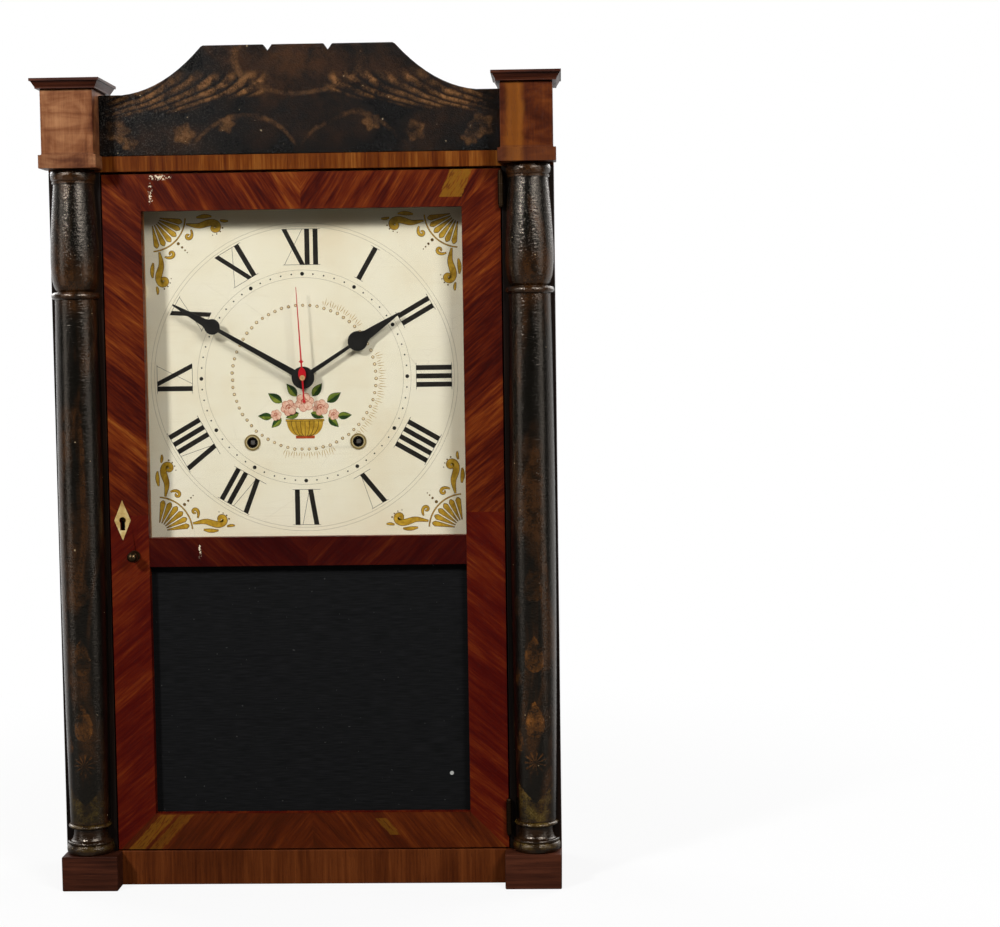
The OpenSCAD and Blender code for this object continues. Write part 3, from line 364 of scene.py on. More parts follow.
def door_veneer():
    """Red veneer on the front of the door's frame, with worn spots, and the plain stained wood behind it."""
    finish = Finish("door_veneer", Specular_IOR_Level=0.08)
    place = finish.place()
    side = finish.axis(place, "X")
    up = finish.axis(place, "Z")
    out = abs(side)
    past = (out - open_half).atleast(0.0)
    top = (up - dial_top - past) > 0.0
    foot = (tablet_foot - up - past) > 0.0
    middle = (out < open_half) * (up > tablet_top) * (up < dial_foot)
    lower = (up < VENEER_JOINT) * (1 - foot) * (1 - middle)
    # Slant of the grain, as its run outward and its rise, in each stretch of veneer
    run = 0.77 - top * 0.22 - middle * 0.05 - foot * 0.15
    lift = 0.64 + top * 0.19 - lower * 1.28 + middle * 0.06 - foot * 1.42
    along = out * run + up * lift
    across = up * run - out * lift
    sheet = top * 3.0 + foot * 7.0 + middle * 11.0 + lower * 15.0 + (side > 0.0) * 23.0

    def laid(along_scale, across_scale):
        return finish.vector(along * along_scale, across * across_scale, sheet)

    flame = finish.noise(laid(4, 34), 1.0, 3.0, 0.5, 1.6)
    ribbon = finish.noise(laid(9, 110), 1.0, 4.0, 0.6, 0.7)
    streak = finish.noise(laid(34, 420), 1.0, 3.0, 0.65, 0.3)
    line = finish.noise(laid(40, 1100), 1.0, 2.0, 0.6)
    pore = finish.rise(finish.noise(laid(160, 2400), 1.0, 2.0, 0.5), 0.6, 0.72)
    cloud = finish.noise(place, 9.0, 3.0, 0.55)
    tone = 0.02 + top * 0.02 - middle * 0.1 - (side > 0.0) * 0.02
    depth = flame * 0.6 + ribbon * 0.4 + streak * 0.5 + line * 0.2 + cloud * 0.5 - 0.59 + tone
    colour = finish.ramp(depth, VENEER_TONES)
    colour = finish.mix(foot * 0.5, colour, finish.mix(ribbon, srgb(46, 14, 3), srgb(92, 44, 11)))
    colour = finish.mix(lower * 0.38, colour, srgb(84, 7, 4))
    colour = finish.mix(middle * 0.6, colour, srgb(50, 3, 3))
    pale = sum(slanted_strip(finish, side, up, *strip) for strip in SAPWOOD_STRIPS)
    fleck = finish.rise(finish.noise(laid(120, 700), 1.0, 2.0, 0.5), 0.5, 0.64)
    colour = finish.mix(pale.upto(1.0) * (0.9 - fleck * 0.6), colour, SAPWOOD)
    colour = finish.mix(pore * 0.5, colour, PORE_DARK)
    worn = sum(flaked(finish, side, up, *spot) for spot in FLAKED_SPOTS)
    plain = finish.stretched(place, (75, 75, 5), 5.0, 0.6, 0.5)
    core = finish.ramp(plain * 0.8 + cloud * 0.2, [(0.34, srgb(52, 24, 11)), (0.64, srgb(98, 54, 27))])
    behind = finish.rise(finish.axis(place, "Y"), door_back - BACK_SKIN, door_back - BACK_SKIN * 0.6)
    colour = finish.mix(behind, colour, core)
    finish.set("Base Color", finish.mix(worn.upto(1.0) * (1 - behind), colour, CHIP_WHITE))
    varnish(finish, line, pore, 0.3)
    return finish


# Black paint with worn bronze stencils
BRONZE = srgb(134, 80, 24)
BRONZE_DIM = srgb(62, 36, 14)
SPLAT_BRONZE = srgb(158, 108, 60)
OLIVE_GOLD = srgb(104, 84, 30)
# Grey of dust specks, also used for painted sheen
DUST_AND_SHEEN_GREY = srgb(104, 98, 90)
FLECK_PALE = srgb(176, 156, 120)


def worn_black(finish, stencil, hue, ground, haze, dust, gloss):
    """Old grainy black paint: a bronze stencil rubbed thin, a brown haze of wood, grey specks of dust and
    painted sheen, and pale flecks.
    """
    place = finish.place()
    rub = finish.noise(place, 75.0, 5.0, 0.75)
    grain = finish.noise(place, 750.0, 3.0, 0.7)
    colour = finish.mix((haze * finish.rise(rub + grain * 0.4, 0.45, 0.85)).upto(1.0), ground, BRONZE_DIM)
    # Grey specks by the dust share: real dust, and painted sheen where a caller raises it
    colour = finish.mix(finish.rise(grain, 0.5, 0.72) * dust, colour, DUST_AND_SHEEN_GREY)
    kept = stencil * finish.rise(rub + grain * 0.6, 0.55, 1.05)
    colour = finish.mix(kept.upto(1.0), colour, finish.mix(finish.rise(rub, 0.3, 0.7), BRONZE_DIM, hue))
    fleck = finish.rise(finish.noise(place, 300.0, 1.0, 0.4), 0.8, 0.815)
    finish.set("Base Color", finish.mix(fleck * 0.7, colour, FLECK_PALE))
    finish.set("Roughness", gloss + rub * 0.18 + kept * 0.15 + fleck * 0.3)
    wave = finish.stretched(place, (60, 60, 18), 3.0, 0.5)
    return wave, grain


def stencil_leaf(finish, across, up, foot, length, width):
    """A leaf with a round foot and a pointed tip, mottled and strongest along its edge."""
    along = (up - foot) / length
    inside = (along > 0.0) * (along < 1.0)
    belly = (along.atleast(0.0) ** 0.45) * (1 - along).atleast(0.0) * (width * 0.95)
    ragged = finish.noise(finish.place(), 480.0, 2.0, 0.6) - 0.5
    depth = belly - abs(across) + ragged * (4 * MM)
    return finish.rise(depth, 0.0, 1.2 * MM) * (1 - finish.rise(depth, 2 * MM, 7 * MM) * 0.45) * inside


COLUMN_GIRTH = 18 * MM
V_LEAF_AT = column_foot + 43 * MM
ROSETTE_AT = column_foot + 77 * MM
ROSETTE_RAYS = 11.0
SPEARS = [(column_foot + 98 * MM, 1.0), (column_foot + 153 * MM, 0.5), (column_foot + 212 * MM, 0.16)]
SPEAR_LENGTH, SPEAR_WIDTH = 32 * MM, 22 * MM
WING_LENGTH, WING_WIDTH, WING_ASIDE, WING_DROP = 19 * MM, 12 * MM, 14 * MM, 12 * MM
VASE_HAZE = column_top - 105 * MM
# Band of the vase with a painted sheen of grey specks
VASE_SHEEN_LOW, VASE_SHEEN_HIGH = column_top - 62 * MM, column_top - 24 * MM
FOOT_RINGS = column_foot + 27 * MM


def column_paint(name, middle, kept):
    """Black paint of one half column: leaves in a V at the foot, a rosette, then fading spearheads."""
    finish = Finish(name, Specular_IOR_Level=0.42, IOR=1.6, Specular_Tint=srgb(255, 240, 222))
    place = finish.place()
    side = finish.axis(place, "X") - middle
    front = column_back - finish.axis(place, "Y")
    up = finish.axis(place, "Z")
    girth = side.angle(front) * COLUMN_GIRTH
    ragged = finish.noise(place, 420.0, 2.0, 0.5) - 0.5
    below = abs(girth) * 0.95 + V_LEAF_AT - up + ragged * (3 * MM)
    v_leaf = finish.rise(below, 0.0, 1.0 * MM) * (1 - finish.rise(below, 10 * MM, 30 * MM) * 0.7)
    v_leaf = v_leaf * (up > FOOT_RINGS) * (1 - finish.rise(abs(girth), 15 * MM, 19 * MM)) * 0.75
    reach = (girth * girth + (up - ROSETTE_AT) ** 2) ** 0.5
    spokes = (girth.angle(up - ROSETTE_AT) * ROSETTE_RAYS).sine()
    rosette = finish.rise(spokes, 0.1, 0.9) * finish.band(reach, 2 * MM, 8 * MM, 3 * MM) * 0.55
    stencil = v_leaf.atleast(rosette)
    for foot, strength in SPEARS:
        spear = stencil_leaf(finish, girth, up, foot, SPEAR_LENGTH, SPEAR_WIDTH)
        wing = stencil_leaf(finish, girth + WING_ASIDE, up, foot - WING_DROP, WING_LENGTH, WING_WIDTH)
        stencil = stencil.atleast(spear * strength).atleast(wing * (strength * 0.6))
    hue = finish.mix(finish.rise(up, V_LEAF_AT, ROSETTE_AT), OLIVE_GOLD, BRONZE)
    streak = finish.stretched(place, (34, 34, 6), 4.0, 0.6, 0.8)
    haze = finish.rise(streak, 0.5, 0.64) * 0.85
    collar = finish.rise(up, column_top - 13 * MM, column_top - 10 * MM)
    turned_foot = 1 - finish.rise(up, FOOT_RINGS, FOOT_RINGS + 2 * MM)
    rubbed_rim = finish.band(up, FOOT_RINGS - 3.5 * MM, FOOT_RINGS - 1.5 * MM, 1 * MM)
    rubbed_base = finish.band(up, column_foot + 5 * MM, column_foot + 8 * MM, 2 * MM)
    rubbed_rim = rubbed_rim.atleast(rubbed_base * 0.6)
    stencil = stencil.atleast(rubbed_rim)
    haze = haze.atleast(collar * 0.9).atleast(turned_foot * 0.4)
    vase_foot = finish.band(up, VASE_HAZE, VASE_HAZE + 22 * MM, 24 * MM)
    haze = haze.atleast(vase_foot * finish.rise(streak, 0.34, 0.6))
    # Grey specks: a little real dust, and on the vase a painted sheen
    dust = 0.02 + finish.band(up, VASE_SHEEN_LOW, VASE_SHEEN_HIGH, 20 * MM) * 0.3
    wave, grain = worn_black(finish, stencil * kept, hue, srgb(6, 5, 3), haze, dust, 0.08)
    dash = finish.stretched(place, (260, 260, 620), 2.0, 0.6)
    finish.relief(wave * 0.7 + grain * 0.65 + dash * 0.8, 1.0, 0.0003)
    return finish


SWEEP_TOP, SWEEP_DROP, SWEEP_RUN = 72 * MM, 30 * MM, 46 * MM
PLUME_PITCH = 15 * MM
MEDALLION_UP, MEDALLION_FLATTEN = 78 * MM, 0.55
# Painted sheen on the splat's left end, as grey specks: full up to the first, gone from the second
SHEEN_FULL_TO, SHEEN_GONE_FROM = -130 * MM, -20 * MM
LEAF_LOBES = 5.0
# Leaf spots: where each lies from the middle and from the foot, and its size
LEAF_SPOTS = [
    (151 * MM, 21 * MM, 11 * MM),
    (141 * MM, 11 * MM, 7 * MM),
    (96 * MM, 17 * MM, 9 * MM),
    (60 * MM, 25 * MM, 8 * MM),
]


def splat_paint():
    """Black paint of the splat: bronze plumes sweep out along the hollows, with leaf spots under them."""
    finish = Finish("splat_paint", Specular_IOR_Level=0.08)
    place = finish.place()
    flat = finish.axis(place, "X")
    side = abs(flat)
    up = finish.axis(place, "Z") - splat_foot
    sway = finish.noise(place, 26.0, 3.0, 0.6) - 0.5
    drop = ((SWEEP_TOP - up) / SWEEP_DROP).atleast(0.0)
    step = (side - drop * drop * SWEEP_RUN + sway * (14 * MM)) / PLUME_PITCH
    tooth = step.fraction()
    plume = finish.rise(tooth, 0.0, 0.6) * (1 - finish.rise(tooth, 0.7, 1.0))
    foot_line = 54 * MM - side * 0.14 + sway * (20 * MM)
    plume = plume * finish.rise(up, foot_line - 4 * MM, foot_line + 2 * MM) * finish.rise(drop, 0.05, 0.4)
    plume = plume * finish.band(up, 0.0, 70 * MM, 8 * MM) * finish.band(side, 34 * MM, 150 * MM, 14 * MM)
    stencil = plume * (0.5 + finish.rise(sway, -0.12, 0.16) * 0.5)
    for across, level, size in LEAF_SPOTS:
        lobes = ((side - across).angle(up - level) * LEAF_LOBES).sine()
        reach = ((side - across) ** 2 + (up - level) ** 2) ** 0.5 + sway * (8 * MM) + lobes * (size * 0.16)
        stencil = stencil.atleast((1 - finish.rise(reach, size * 0.7, size * 1.05)) * 0.34)
    arc = ((flat * MEDALLION_FLATTEN) ** 2 + (up - MEDALLION_UP) ** 2) ** 0.5 + sway * (5 * MM)
    stencil = stencil.atleast(finish.band(arc, 28 * MM, 29.5 * MM, 2 * MM) * 0.26)
    stem = up - 33 * MM + ((side - 45 * MM) / (9 * MM)) ** 2 * (1.1 * MM) + sway * (12 * MM)
    stem = (1 - finish.rise(abs(stem), 0.6 * MM, 3 * MM)) * finish.band(side, 8 * MM, 82 * MM, 8 * MM)
    stencil = stencil.atleast(stem * 0.28)
    haze = (1 - finish.rise(arc, 6 * MM, 30 * MM)) * 0.9
    thin = finish.rise(finish.noise(place, 24.0, 3.0, 0.6), 0.44, 0.66)
    haze = haze.atleast(thin * (0.3 + finish.rise(up, 30 * MM, 60 * MM) * 0.3))
    # Grey specks: a little real dust, and toward the left end a painted sheen
    dust = 0.03 + (1 - finish.rise(flat, SHEEN_FULL_TO, SHEEN_GONE_FROM)) * 0.3
    wave, grain = worn_black(finish, stencil, SPLAT_BRONZE, srgb(8, 7, 6), haze, dust, 0.12)
    finish.relief(wave * 0.3 + grain * 1.4, 1.0, 0.0004)
    return finish


# Dial, hands and painted work
def dial_cream():
    """Cream ground of the dial: clouded, finely cracked, darker at its sides, with a painted shade along its
    top.
    """
    finish = Finish("dial_cream", Specular_IOR_Level=0.25)
    place = finish.place()
    side = abs(finish.axis(place, "X"))
    cloud = finish.noise(place, 12.0, 4.0, 0.6)
    grain = finish.stretched(place, (14, 1, 420), 3.0, 0.6)
    tones = [(0.3, srgb(233, 222, 195)), (0.5, srgb(240, 234, 212)), (0.7, srgb(243, 238, 220))]
    colour = finish.ramp(cloud, tones)
    colour = finish.mix(finish.rise(grain, 0.5, 0.8) * 0.16, colour, srgb(206, 192, 160))
    crack = 1 - finish.rise(finish.cell_edges(place, 34.0), 0.0, 0.006)
    colour = finish.mix(crack * finish.rise(cloud, 0.5, 0.6) * 0.22, colour, srgb(150, 132, 98))
    edge = finish.rise(side, 112 * MM, 140 * MM)
    colour = finish.mix(edge * 0.12, colour, srgb(190, 170, 128))
    # Painted shade along the top, under the door's top rail
    painted_shade = finish.rise(finish.axis(place, "Z"), dial_top - 16 * MM, dial_top - 4 * MM)
    colour = finish.mix(painted_shade * 0.45, colour, srgb(132, 116, 66))
    speck = finish.rise(finish.noise(place, 620.0, 1.0, 0.4), 0.74, 0.78)
    finish.set("Base Color", finish.mix(speck * 0.2, colour, srgb(140, 116, 80)))
    finish.set("Roughness", 0.5 + cloud * 0.15)
    finish.relief(grain * 0.4 + cloud * 0.3 - crack * 0.5, 0.18, 0.0002)
    return finish


def paint(name, light, dark, scale=160.0, rough=0.45, sheen=0.3):
    """Brushed paint that runs between two tones."""
    finish = Finish(name, Specular_IOR_Level=sheen)
    place = finish.place()
    brush = finish.noise(place, scale, 4.0, 0.6, 0.4)
    finish.set("Base Color", finish.mix(finish.rise(brush, 0.3, 0.7), dark, light))
    finish.set("Roughness", rough + brush * 0.15)
    finish.relief(brush, 0.25, 0.0002)
    return finish


PIN_RADIUS = 2.3 * MM
TABLET_CHIP_X, TABLET_CHIP_Z = 117.9 * MM, 92.7 * MM
CELL_END = 16 * MM
WIRE_PITCH = 0.25 * MM


def second_hand_paint():
    """Red enamel, with the bare brass pin at its centre."""
    finish = Finish("second_hand_red", Specular_IOR_Level=0.45)
    place = finish.place()
    brush = finish.noise(place, 120.0, 4.0, 0.6, 0.4)
    reach = ((finish.axis(place, "X") - dial_x) ** 2 + (finish.axis(place, "Z") - dial_z) ** 2) ** 0.5
    pin = 1 - finish.rise(reach, PIN_RADIUS * 0.94, PIN_RADIUS)
    enamel = finish.mix(brush, srgb(176, 8, 22), srgb(208, 18, 36))
    finish.set("Base Color", finish.mix(pin, enamel, srgb(222, 186, 128)))
    finish.set("Metallic", pin * 0.35)
    finish.set("Roughness", 0.28 + brush * 0.12)
    return finish


def tablet_black():
    """Black ground of the lower panel: a fine weave, specks and one pale chip."""
    finish = Finish("tablet_black", Specular_IOR_Level=0.06)
    place = finish.place()
    side = finish.axis(place, "X")
    up = finish.axis(place, "Z")
    weave = finish.stretched(place, (60, 1, 1500), 3.0, 0.6)
    streak = finish.stretched(place, (7, 1, 260), 4.0, 0.6)
    colour = finish.mix(finish.rise(weave, 0.35, 0.7), srgb(13, 14, 14), srgb(25, 25, 26))
    colour = finish.mix(finish.rise(streak, 0.6, 0.75) * 0.6, colour, srgb(8, 8, 9))
    near = ((side - TABLET_CHIP_X) ** 2 + (up - TABLET_CHIP_Z) ** 2) ** 0.5
    speck = finish.rise(finish.noise(place, 380.0, 1.0, 0.4), 0.79, 0.8) * 0.08
    chip = (1 - finish.rise(near, 1.4 * MM, 1.9 * MM)).atleast(speck)
    finish.set("Base Color", finish.mix(chip, colour, srgb(176, 176, 172)))
    finish.set("Roughness", 0.55 + weave * 0.2)
    finish.relief(weave * 0.5 - streak * 0.4, 0.3, 0.0002)
    return finish


def pane_glass():
    """Old window glass: clear, with a faint wave in what it mirrors."""
    finish = Finish("pane_glass", Base_Color=srgb(240, 244, 240), Metallic=1.0, Roughness=0.02)
    wave = finish.noise(finish.place(), 9.0, 2.0, 0.5)
    finish.relief(wave, 0.12, 0.002)
    facing = finish.add("ShaderNodeLayerWeight", None, {"Blend": 0.5}, "Facing")
    mirror = 0.03 + facing ** 5 * 0.9
    clear = finish.add("ShaderNodeBsdfTransparent", None, {"Color": (0.985, 0.98, 0.965)})
    finish.blend(mirror, clear, finish.look)
    return finish


# Metals, bone and plastics
def metal(name, light, dark, rough=0.3, scratch=600.0, tarnish=0.5):
    """Metal with tarnish in patches and fine scratches."""
    finish = Finish(name, Metallic=1.0)
    place = finish.place()
    patch = finish.noise(place, 90.0, 5.0, 0.65)
    fine = finish.stretched(place, (scratch, scratch * 3, scratch), 3.0, 0.6)
    dull = finish.rise(patch, 0.42, 0.7) * tarnish
    finish.set("Base Color", finish.mix(dull, light, dark))
    finish.set("Roughness", rough + dull * 0.3 + fine * 0.12)
    finish.relief(fine * 0.6 + patch, 0.2, 0.0002)
    return finish


def winding_rim():
    """Rims of the winding holes: olive brass outside, and a painted shade of the hole over their inner part.
    """
    finish = Finish("winding_rim", Metallic=0.5)
    place = finish.place()
    low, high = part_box("winding_grommets")
    radius = (high.z - low.z) / 2
    side = abs(finish.axis(place, "X") - (low.x + high.x) / 2) - ((high.x - low.x) / 2 - radius)
    reach = (side ** 2 + (finish.axis(place, "Z") - (low.z + high.z) / 2) ** 2) ** 0.5
    wear = finish.noise(place, 260.0, 3.0, 0.6)
    # Inner part of the rim: painted shade of the dark hole
    painted_shade = 1 - finish.rise(reach, radius * 0.66, radius * 0.7)
    lip = finish.band(reach, radius * 0.71, radius * 0.78, 0.2 * MM)
    olive = finish.mix(wear, srgb(126, 106, 56), srgb(176, 154, 98))
    olive = finish.mix(lip * 0.8, olive, srgb(232, 216, 168))
    finish.set("Base Color", finish.mix(painted_shade, olive, srgb(26, 20, 12)))
    finish.set("Roughness", 0.34 + wear * 0.16)
    return finish


def bone():
    """Yellowed bone with fine fibres."""
    finish = Finish("bone_inlay", Specular_IOR_Level=0.45)
    place = finish.place()
    fibre = finish.stretched(place, (900, 900, 120), 3.0, 0.6)
    stain = finish.noise(place, 120.0, 4.0, 0.6)
    tones = [(0.3, srgb(158, 122, 62)), (0.5, srgb(192, 164, 102)), (0.65, srgb(210, 190, 138))]
    colour = finish.ramp(stain, tones)
    finish.set("Base Color", finish.mix(finish.rise(fibre, 0.58, 0.7) * 0.4, colour, srgb(160, 120, 70)))
    finish.set("Roughness", 0.35 + fibre * 0.2)
    finish.relief(fibre, 0.2, 0.0002)
    return finish


def moulded(name, light, dark, rough=0.45):
    """Moulded plastic with a fine spark-eroded grain."""
    finish = Finish(name, Specular_IOR_Level=0.5)
    place = finish.place()
    grain = finish.noise(place, 2400.0, 2.0, 0.6)
    dust = finish.noise(place, 45.0, 4.0, 0.6)
    finish.set("Base Color", finish.mix(finish.rise(dust, 0.5, 0.75) * 0.6, dark, light))
    finish.set("Roughness", rough + grain * 0.2)
    finish.relief(grain, 0.25, 0.0001)
    return finish


def wound_copper():
    """Fine enamelled wire wound side by side."""
    finish = Finish("coil_wire", Metallic=0.7)
    ridge = (finish.axis(finish.place(), "X") * (2 * math.pi / WIRE_PITCH)).sine()
    finish.set("Base Color", finish.mix(ridge * 0.5 + 0.5, srgb(96, 44, 22), srgb(196, 112, 62)))
    finish.set("Roughness", 0.35 + ridge * 0.08)
    finish.relief(ridge, 0.6, 0.0001)
    return finish


def circuit_green():
    """Green lacquer with pale lines between the tracks under it."""
    finish = Finish("board_lacquer", Specular_IOR_Level=0.5)
    place = finish.place()
    lanes = finish.cell_edges(finish.scaled(place, (300, 1, 300)), 1.0)
    track = finish.rise(lanes, 0.05, 0.09)
    finish.set("Base Color", finish.mix(track, srgb(140, 150, 90), srgb(34, 84, 44)))
    finish.set("Roughness", 0.35 + track * 0.1)
    finish.relief(track, 0.4, 0.0001)
    return finish


def cell_jacket():
    """Plain two-tone jacket of the cell: dark body and a copper-coloured end."""
    finish = Finish("cell_jacket", Specular_IOR_Level=0.5)
    place = finish.place()
    scuff = finish.noise(place, 500.0, 3.0, 0.6)
    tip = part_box("battery")[1].x
    end = finish.rise(finish.axis(place, "X"), tip - CELL_END, tip - CELL_END + 0.4 * MM)
    colour = finish.mix(end, srgb(26, 26, 28), srgb(168, 96, 48))
    finish.set("Base Color", finish.mix(finish.rise(scuff, 0.6, 0.7) * 0.2, colour, srgb(90, 88, 84)))
    finish.set("Metallic", end * 0.8)
    finish.set("Roughness", 0.28 + scuff * 0.2)
    return finish


# Finish of each part of the frame
MAHOGANY = [srgb(44, 14, 7), srgb(74, 30, 13), srgb(100, 48, 22)]
DOOR_FRAME = ("door_stile_left", "door_stile_right", "door_rail_top", "door_rail_mid", "door_rail_bottom")
FINISHES = {
    DOOR_FRAME: door_veneer(),
    ("case_side_left", "case_side_right"): wood("side_mahogany", MAHOGANY, "z", 0.32),
    ("base_rail",): wood(
        "base_rail_veneer", [srgb(62, 24, 5), srgb(84, 38, 11), srgb(104, 52, 19)], "z", 0.33, 0.5
    ),
    ("top_rail",): wood(
        "top_rail_veneer", [srgb(66, 20, 0), srgb(102, 49, 8), srgb(138, 82, 28)], "z", 0.3, 0.4
    ),
    ("capital_blocks",): block_veneer(),
    ("block_caps",): wood(
        "cap_mahogany", [srgb(32, 8, 2), srgb(62, 25, 10), srgb(92, 46, 24)], "x", 0.3, 0.4, 0.16
    ),
    ("base_blocks",): wood(
        "base_block_mahogany", [srgb(42, 18, 10), srgb(67, 33, 20), srgb(88, 46, 29)], "x", 0.36
    ),
    ("front_stiles",): wood("stile_stain", [srgb(10, 6, 4), srgb(20, 12, 8), srgb(34, 19, 11)], "z", 0.42),
    ("dial_button_left", "dial_button_right"): paint(
        "button_cream", srgb(226, 214, 184), srgb(190, 172, 134), 60.0, 0.5, 0.2
    ),
    ("case_top", "case_bottom"): wood(
        "board_pine", [srgb(98, 64, 34), srgb(134, 94, 54), srgb(160, 120, 76)],
        "x", 0.6, 0.4, 0.25, case_half,
    ),
    ("backboard",): wood(
        "back_pine", [srgb(74, 48, 28), srgb(112, 77, 46), srgb(142, 104, 66)],
        "z", 0.65, 0.6, 0.2, case_half,
    ),
    ("dial_posts",): wood(
        "post_pine", [srgb(120, 82, 46), srgb(156, 114, 70), srgb(180, 140, 94)], "z", 0.6, 0.4, 0.25
    ),
    ("arbor_batten", "glazing_beads"): wood(
        "batten_pine", [srgb(104, 66, 36), srgb(140, 98, 58), srgb(166, 124, 80)], "x", 0.6, 0.4, 0.25
    ),
    ("splat",): splat_paint(),
    ("half_column_left",): column_paint("column_paint_left", -column_x, 0.6),
    ("half_column_right",): column_paint("column_paint_right", column_x, 1.0),
    ("dial_board",): dial_cream(),
    ("tablet_panel",): tablet_black(),
    ("dial_glass",): pane_glass(),
    ("winding_grommets",): winding_rim(),
    ("lock_keeper", "bush_washer", "bush_nut", "button_screws", "lock_bolt"): metal(
        "old_brass", srgb(150, 118, 62), srgb(70, 52, 26), 0.34
    ),
    ("hinge_leaves_case", "hinge_leaves_door", "hinge_pins"): metal(
        "hinge_dark", srgb(44, 33, 22), srgb(16, 12, 9), 0.36
    ),
    ("latch_tongue",): metal("latch_brass", srgb(196, 158, 88), srgb(104, 76, 38), 0.26),
    ("door_knob",): metal("knob_brass", srgb(78, 62, 42), srgb(30, 23, 16), 0.24, 400.0, 0.8),
    ("hour_wheel", "centre_wheel", "seconds_wheel", "third_wheel", "motion_wheel", "fifth_wheel"): metal(
        "wheel_brass", srgb(210, 172, 96), srgb(150, 116, 56), 0.22, 900.0, 0.25
    ),
    ("backboard_nails", "winding_arbors", "lock_case", "stator", "battery_contacts", "rotor"): metal(
        "old_iron", srgb(128, 124, 120), srgb(58, 46, 38), 0.38
    ),
    ("escutcheon",): bone(),
    ("hour_hand", "minute_hand"): paint("hand_black", srgb(20, 18, 16), srgb(8, 7, 6), 90.0, 0.3, 0.45),
    ("second_hand",): second_hand_paint(),
    ("movement_shell_front", "movement_shell_back", "setting_knob"): moulded(
        "movement_black", srgb(52, 52, 54), srgb(24, 24, 26)
    ),
    ("coil",): wound_copper(),
    ("circuit_board",): circuit_green(),
    ("battery",): cell_jacket(),
}
for parts, finish in FINISHES.items():
    for part in parts:
        mesh = frame["nodes"][part].data
        mesh.materials.clear()
        mesh.materials.append(finish.material)

# Edges rubbed round, by how far each is rounded in millimetres
ROUNDED = {
    0.9: ("base_blocks", "capital_blocks", "base_rail", "splat"),
    0.6: (
        "block_caps", "top_rail", "front_stiles", "case_side_left", "case_side_right", "case_top",
        "backboard", "dial_posts", "dial_board", "arbor_batten", "dial_button_left", "dial_button_right",
        "movement_shell_back",
    ),
    0.3: DOOR_FRAME,
    0.2: ("hour_hand", "minute_hand", "lock_case", "escutcheon", "latch_tongue", "lock_bolt", "bush_nut"),
}


def round_edges(part, width):
    """Rounds the sharp edges of a part of the frame; its own mesh stays as it is."""
    piece = frame["nodes"][part]
    weld = piece.modifiers.new("joined_corners", "WELD")
    weld.merge_threshold = 1e-6
    bevel = piece.modifiers.new("rubbed_edges", "BEVEL")
    bevel.width = width * MM
    bevel.segments = 2
    bevel.limit_method = "ANGLE"
    bevel.angle_limit = math.radians(40)
    bevel.harden_normals = True


for width, parts in ROUNDED.items():
    for part in parts:
        round_edges(part, width)


# Painted work on the dial: thin closed pieces on its face, drawn in millimetres about its centre
def new_piece(name, mesh, finish):
    """Makes a mesh into a piece on the case, with its finish."""
    bmesh.ops.recalc_face_normals(mesh, faces=mesh.faces)
    data = bpy.data.meshes.new(name)
    mesh.to_mesh(data)
    mesh.free()
    data.materials.append(finish.material)
    piece = bpy.data.objects.new(name, data)
    bpy.context.scene.collection.objects.link(piece)
    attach(piece, "case")


def dial_point(mesh, x, z, height):
    """A point over the dial's face, from its centre."""
    return mesh.verts.new((dial_x + x * MM, dial_face - height * MM, dial_z + z * MM))


def layer(mesh, outline, low, high):
    """A closed sheet between two heights over the dial, with any simple outline."""
    front = [dial_point(mesh, x, z, high) for x, z in outline]
    back = [dial_point(mesh, x, z, low) for x, z in outline]
    mesh.faces.new(front)
    mesh.faces.new(back[::-1])
    for i in range(len(outline)):
        mesh.faces.new((front[i - 1], front[i], back[i], back[i - 1]))


def ribbon(mesh, left, right, low, high, closed=False):
    """A closed strip between two lines of points, between two heights over the dial."""
    heights = (low, high)
    lines = (left, right)
    pairs = [[[dial_point(mesh, *point, height) for height in heights] for point in line] for line in lines]
    count = len(left)
    for i in range(0 if closed else 1, count):
        (a_low, a_high), (b_low, b_high) = pairs[0][i - 1], pairs[0][i]
        (c_low, c_high), (d_low, d_high) = pairs[1][i - 1], pairs[1][i]
        mesh.faces.new((a_high, b_high, d_high, c_high))
        mesh.faces.new((a_low, c_low, d_low, b_low))
        mesh.faces.new((a_low, b_low, b_high, a_high))
        mesh.faces.new((c_low, c_high, d_high, d_low))
    if not closed:
        for i in (0, count - 1):
            mesh.faces.new((pairs[0][i][0], pairs[0][i][1], pairs[1][i][1], pairs[1][i][0]))


def brush_line(mesh, points, widths, low, high):
    """A stroke along points, as wide at each as widths says."""
    left, right = [], []
    for i, (x, z) in enumerate(points):
        before, after = points[max(i - 1, 0)], points[min(i + 1, len(points) - 1)]
        step = Vector((after[0] - before[0], after[1] - before[1])).normalized() * (widths[i] / 2)
        left.append((x - step.y, z + step.x))
        right.append((x + step.y, z - step.x))
    ribbon(mesh, left, right, low, high)


def ring(mesh, radius, width, low, high, steps=180):
    """A flat ring about the dial's centre."""
    turns = [2 * math.pi * i / steps for i in range(steps)]
    edges = (radius - width / 2, radius + width / 2)
    lines = [[(edge * math.sin(turn), edge * math.cos(turn)) for turn in turns] for edge in edges]
    ribbon(mesh, *lines, low, high, closed=True)


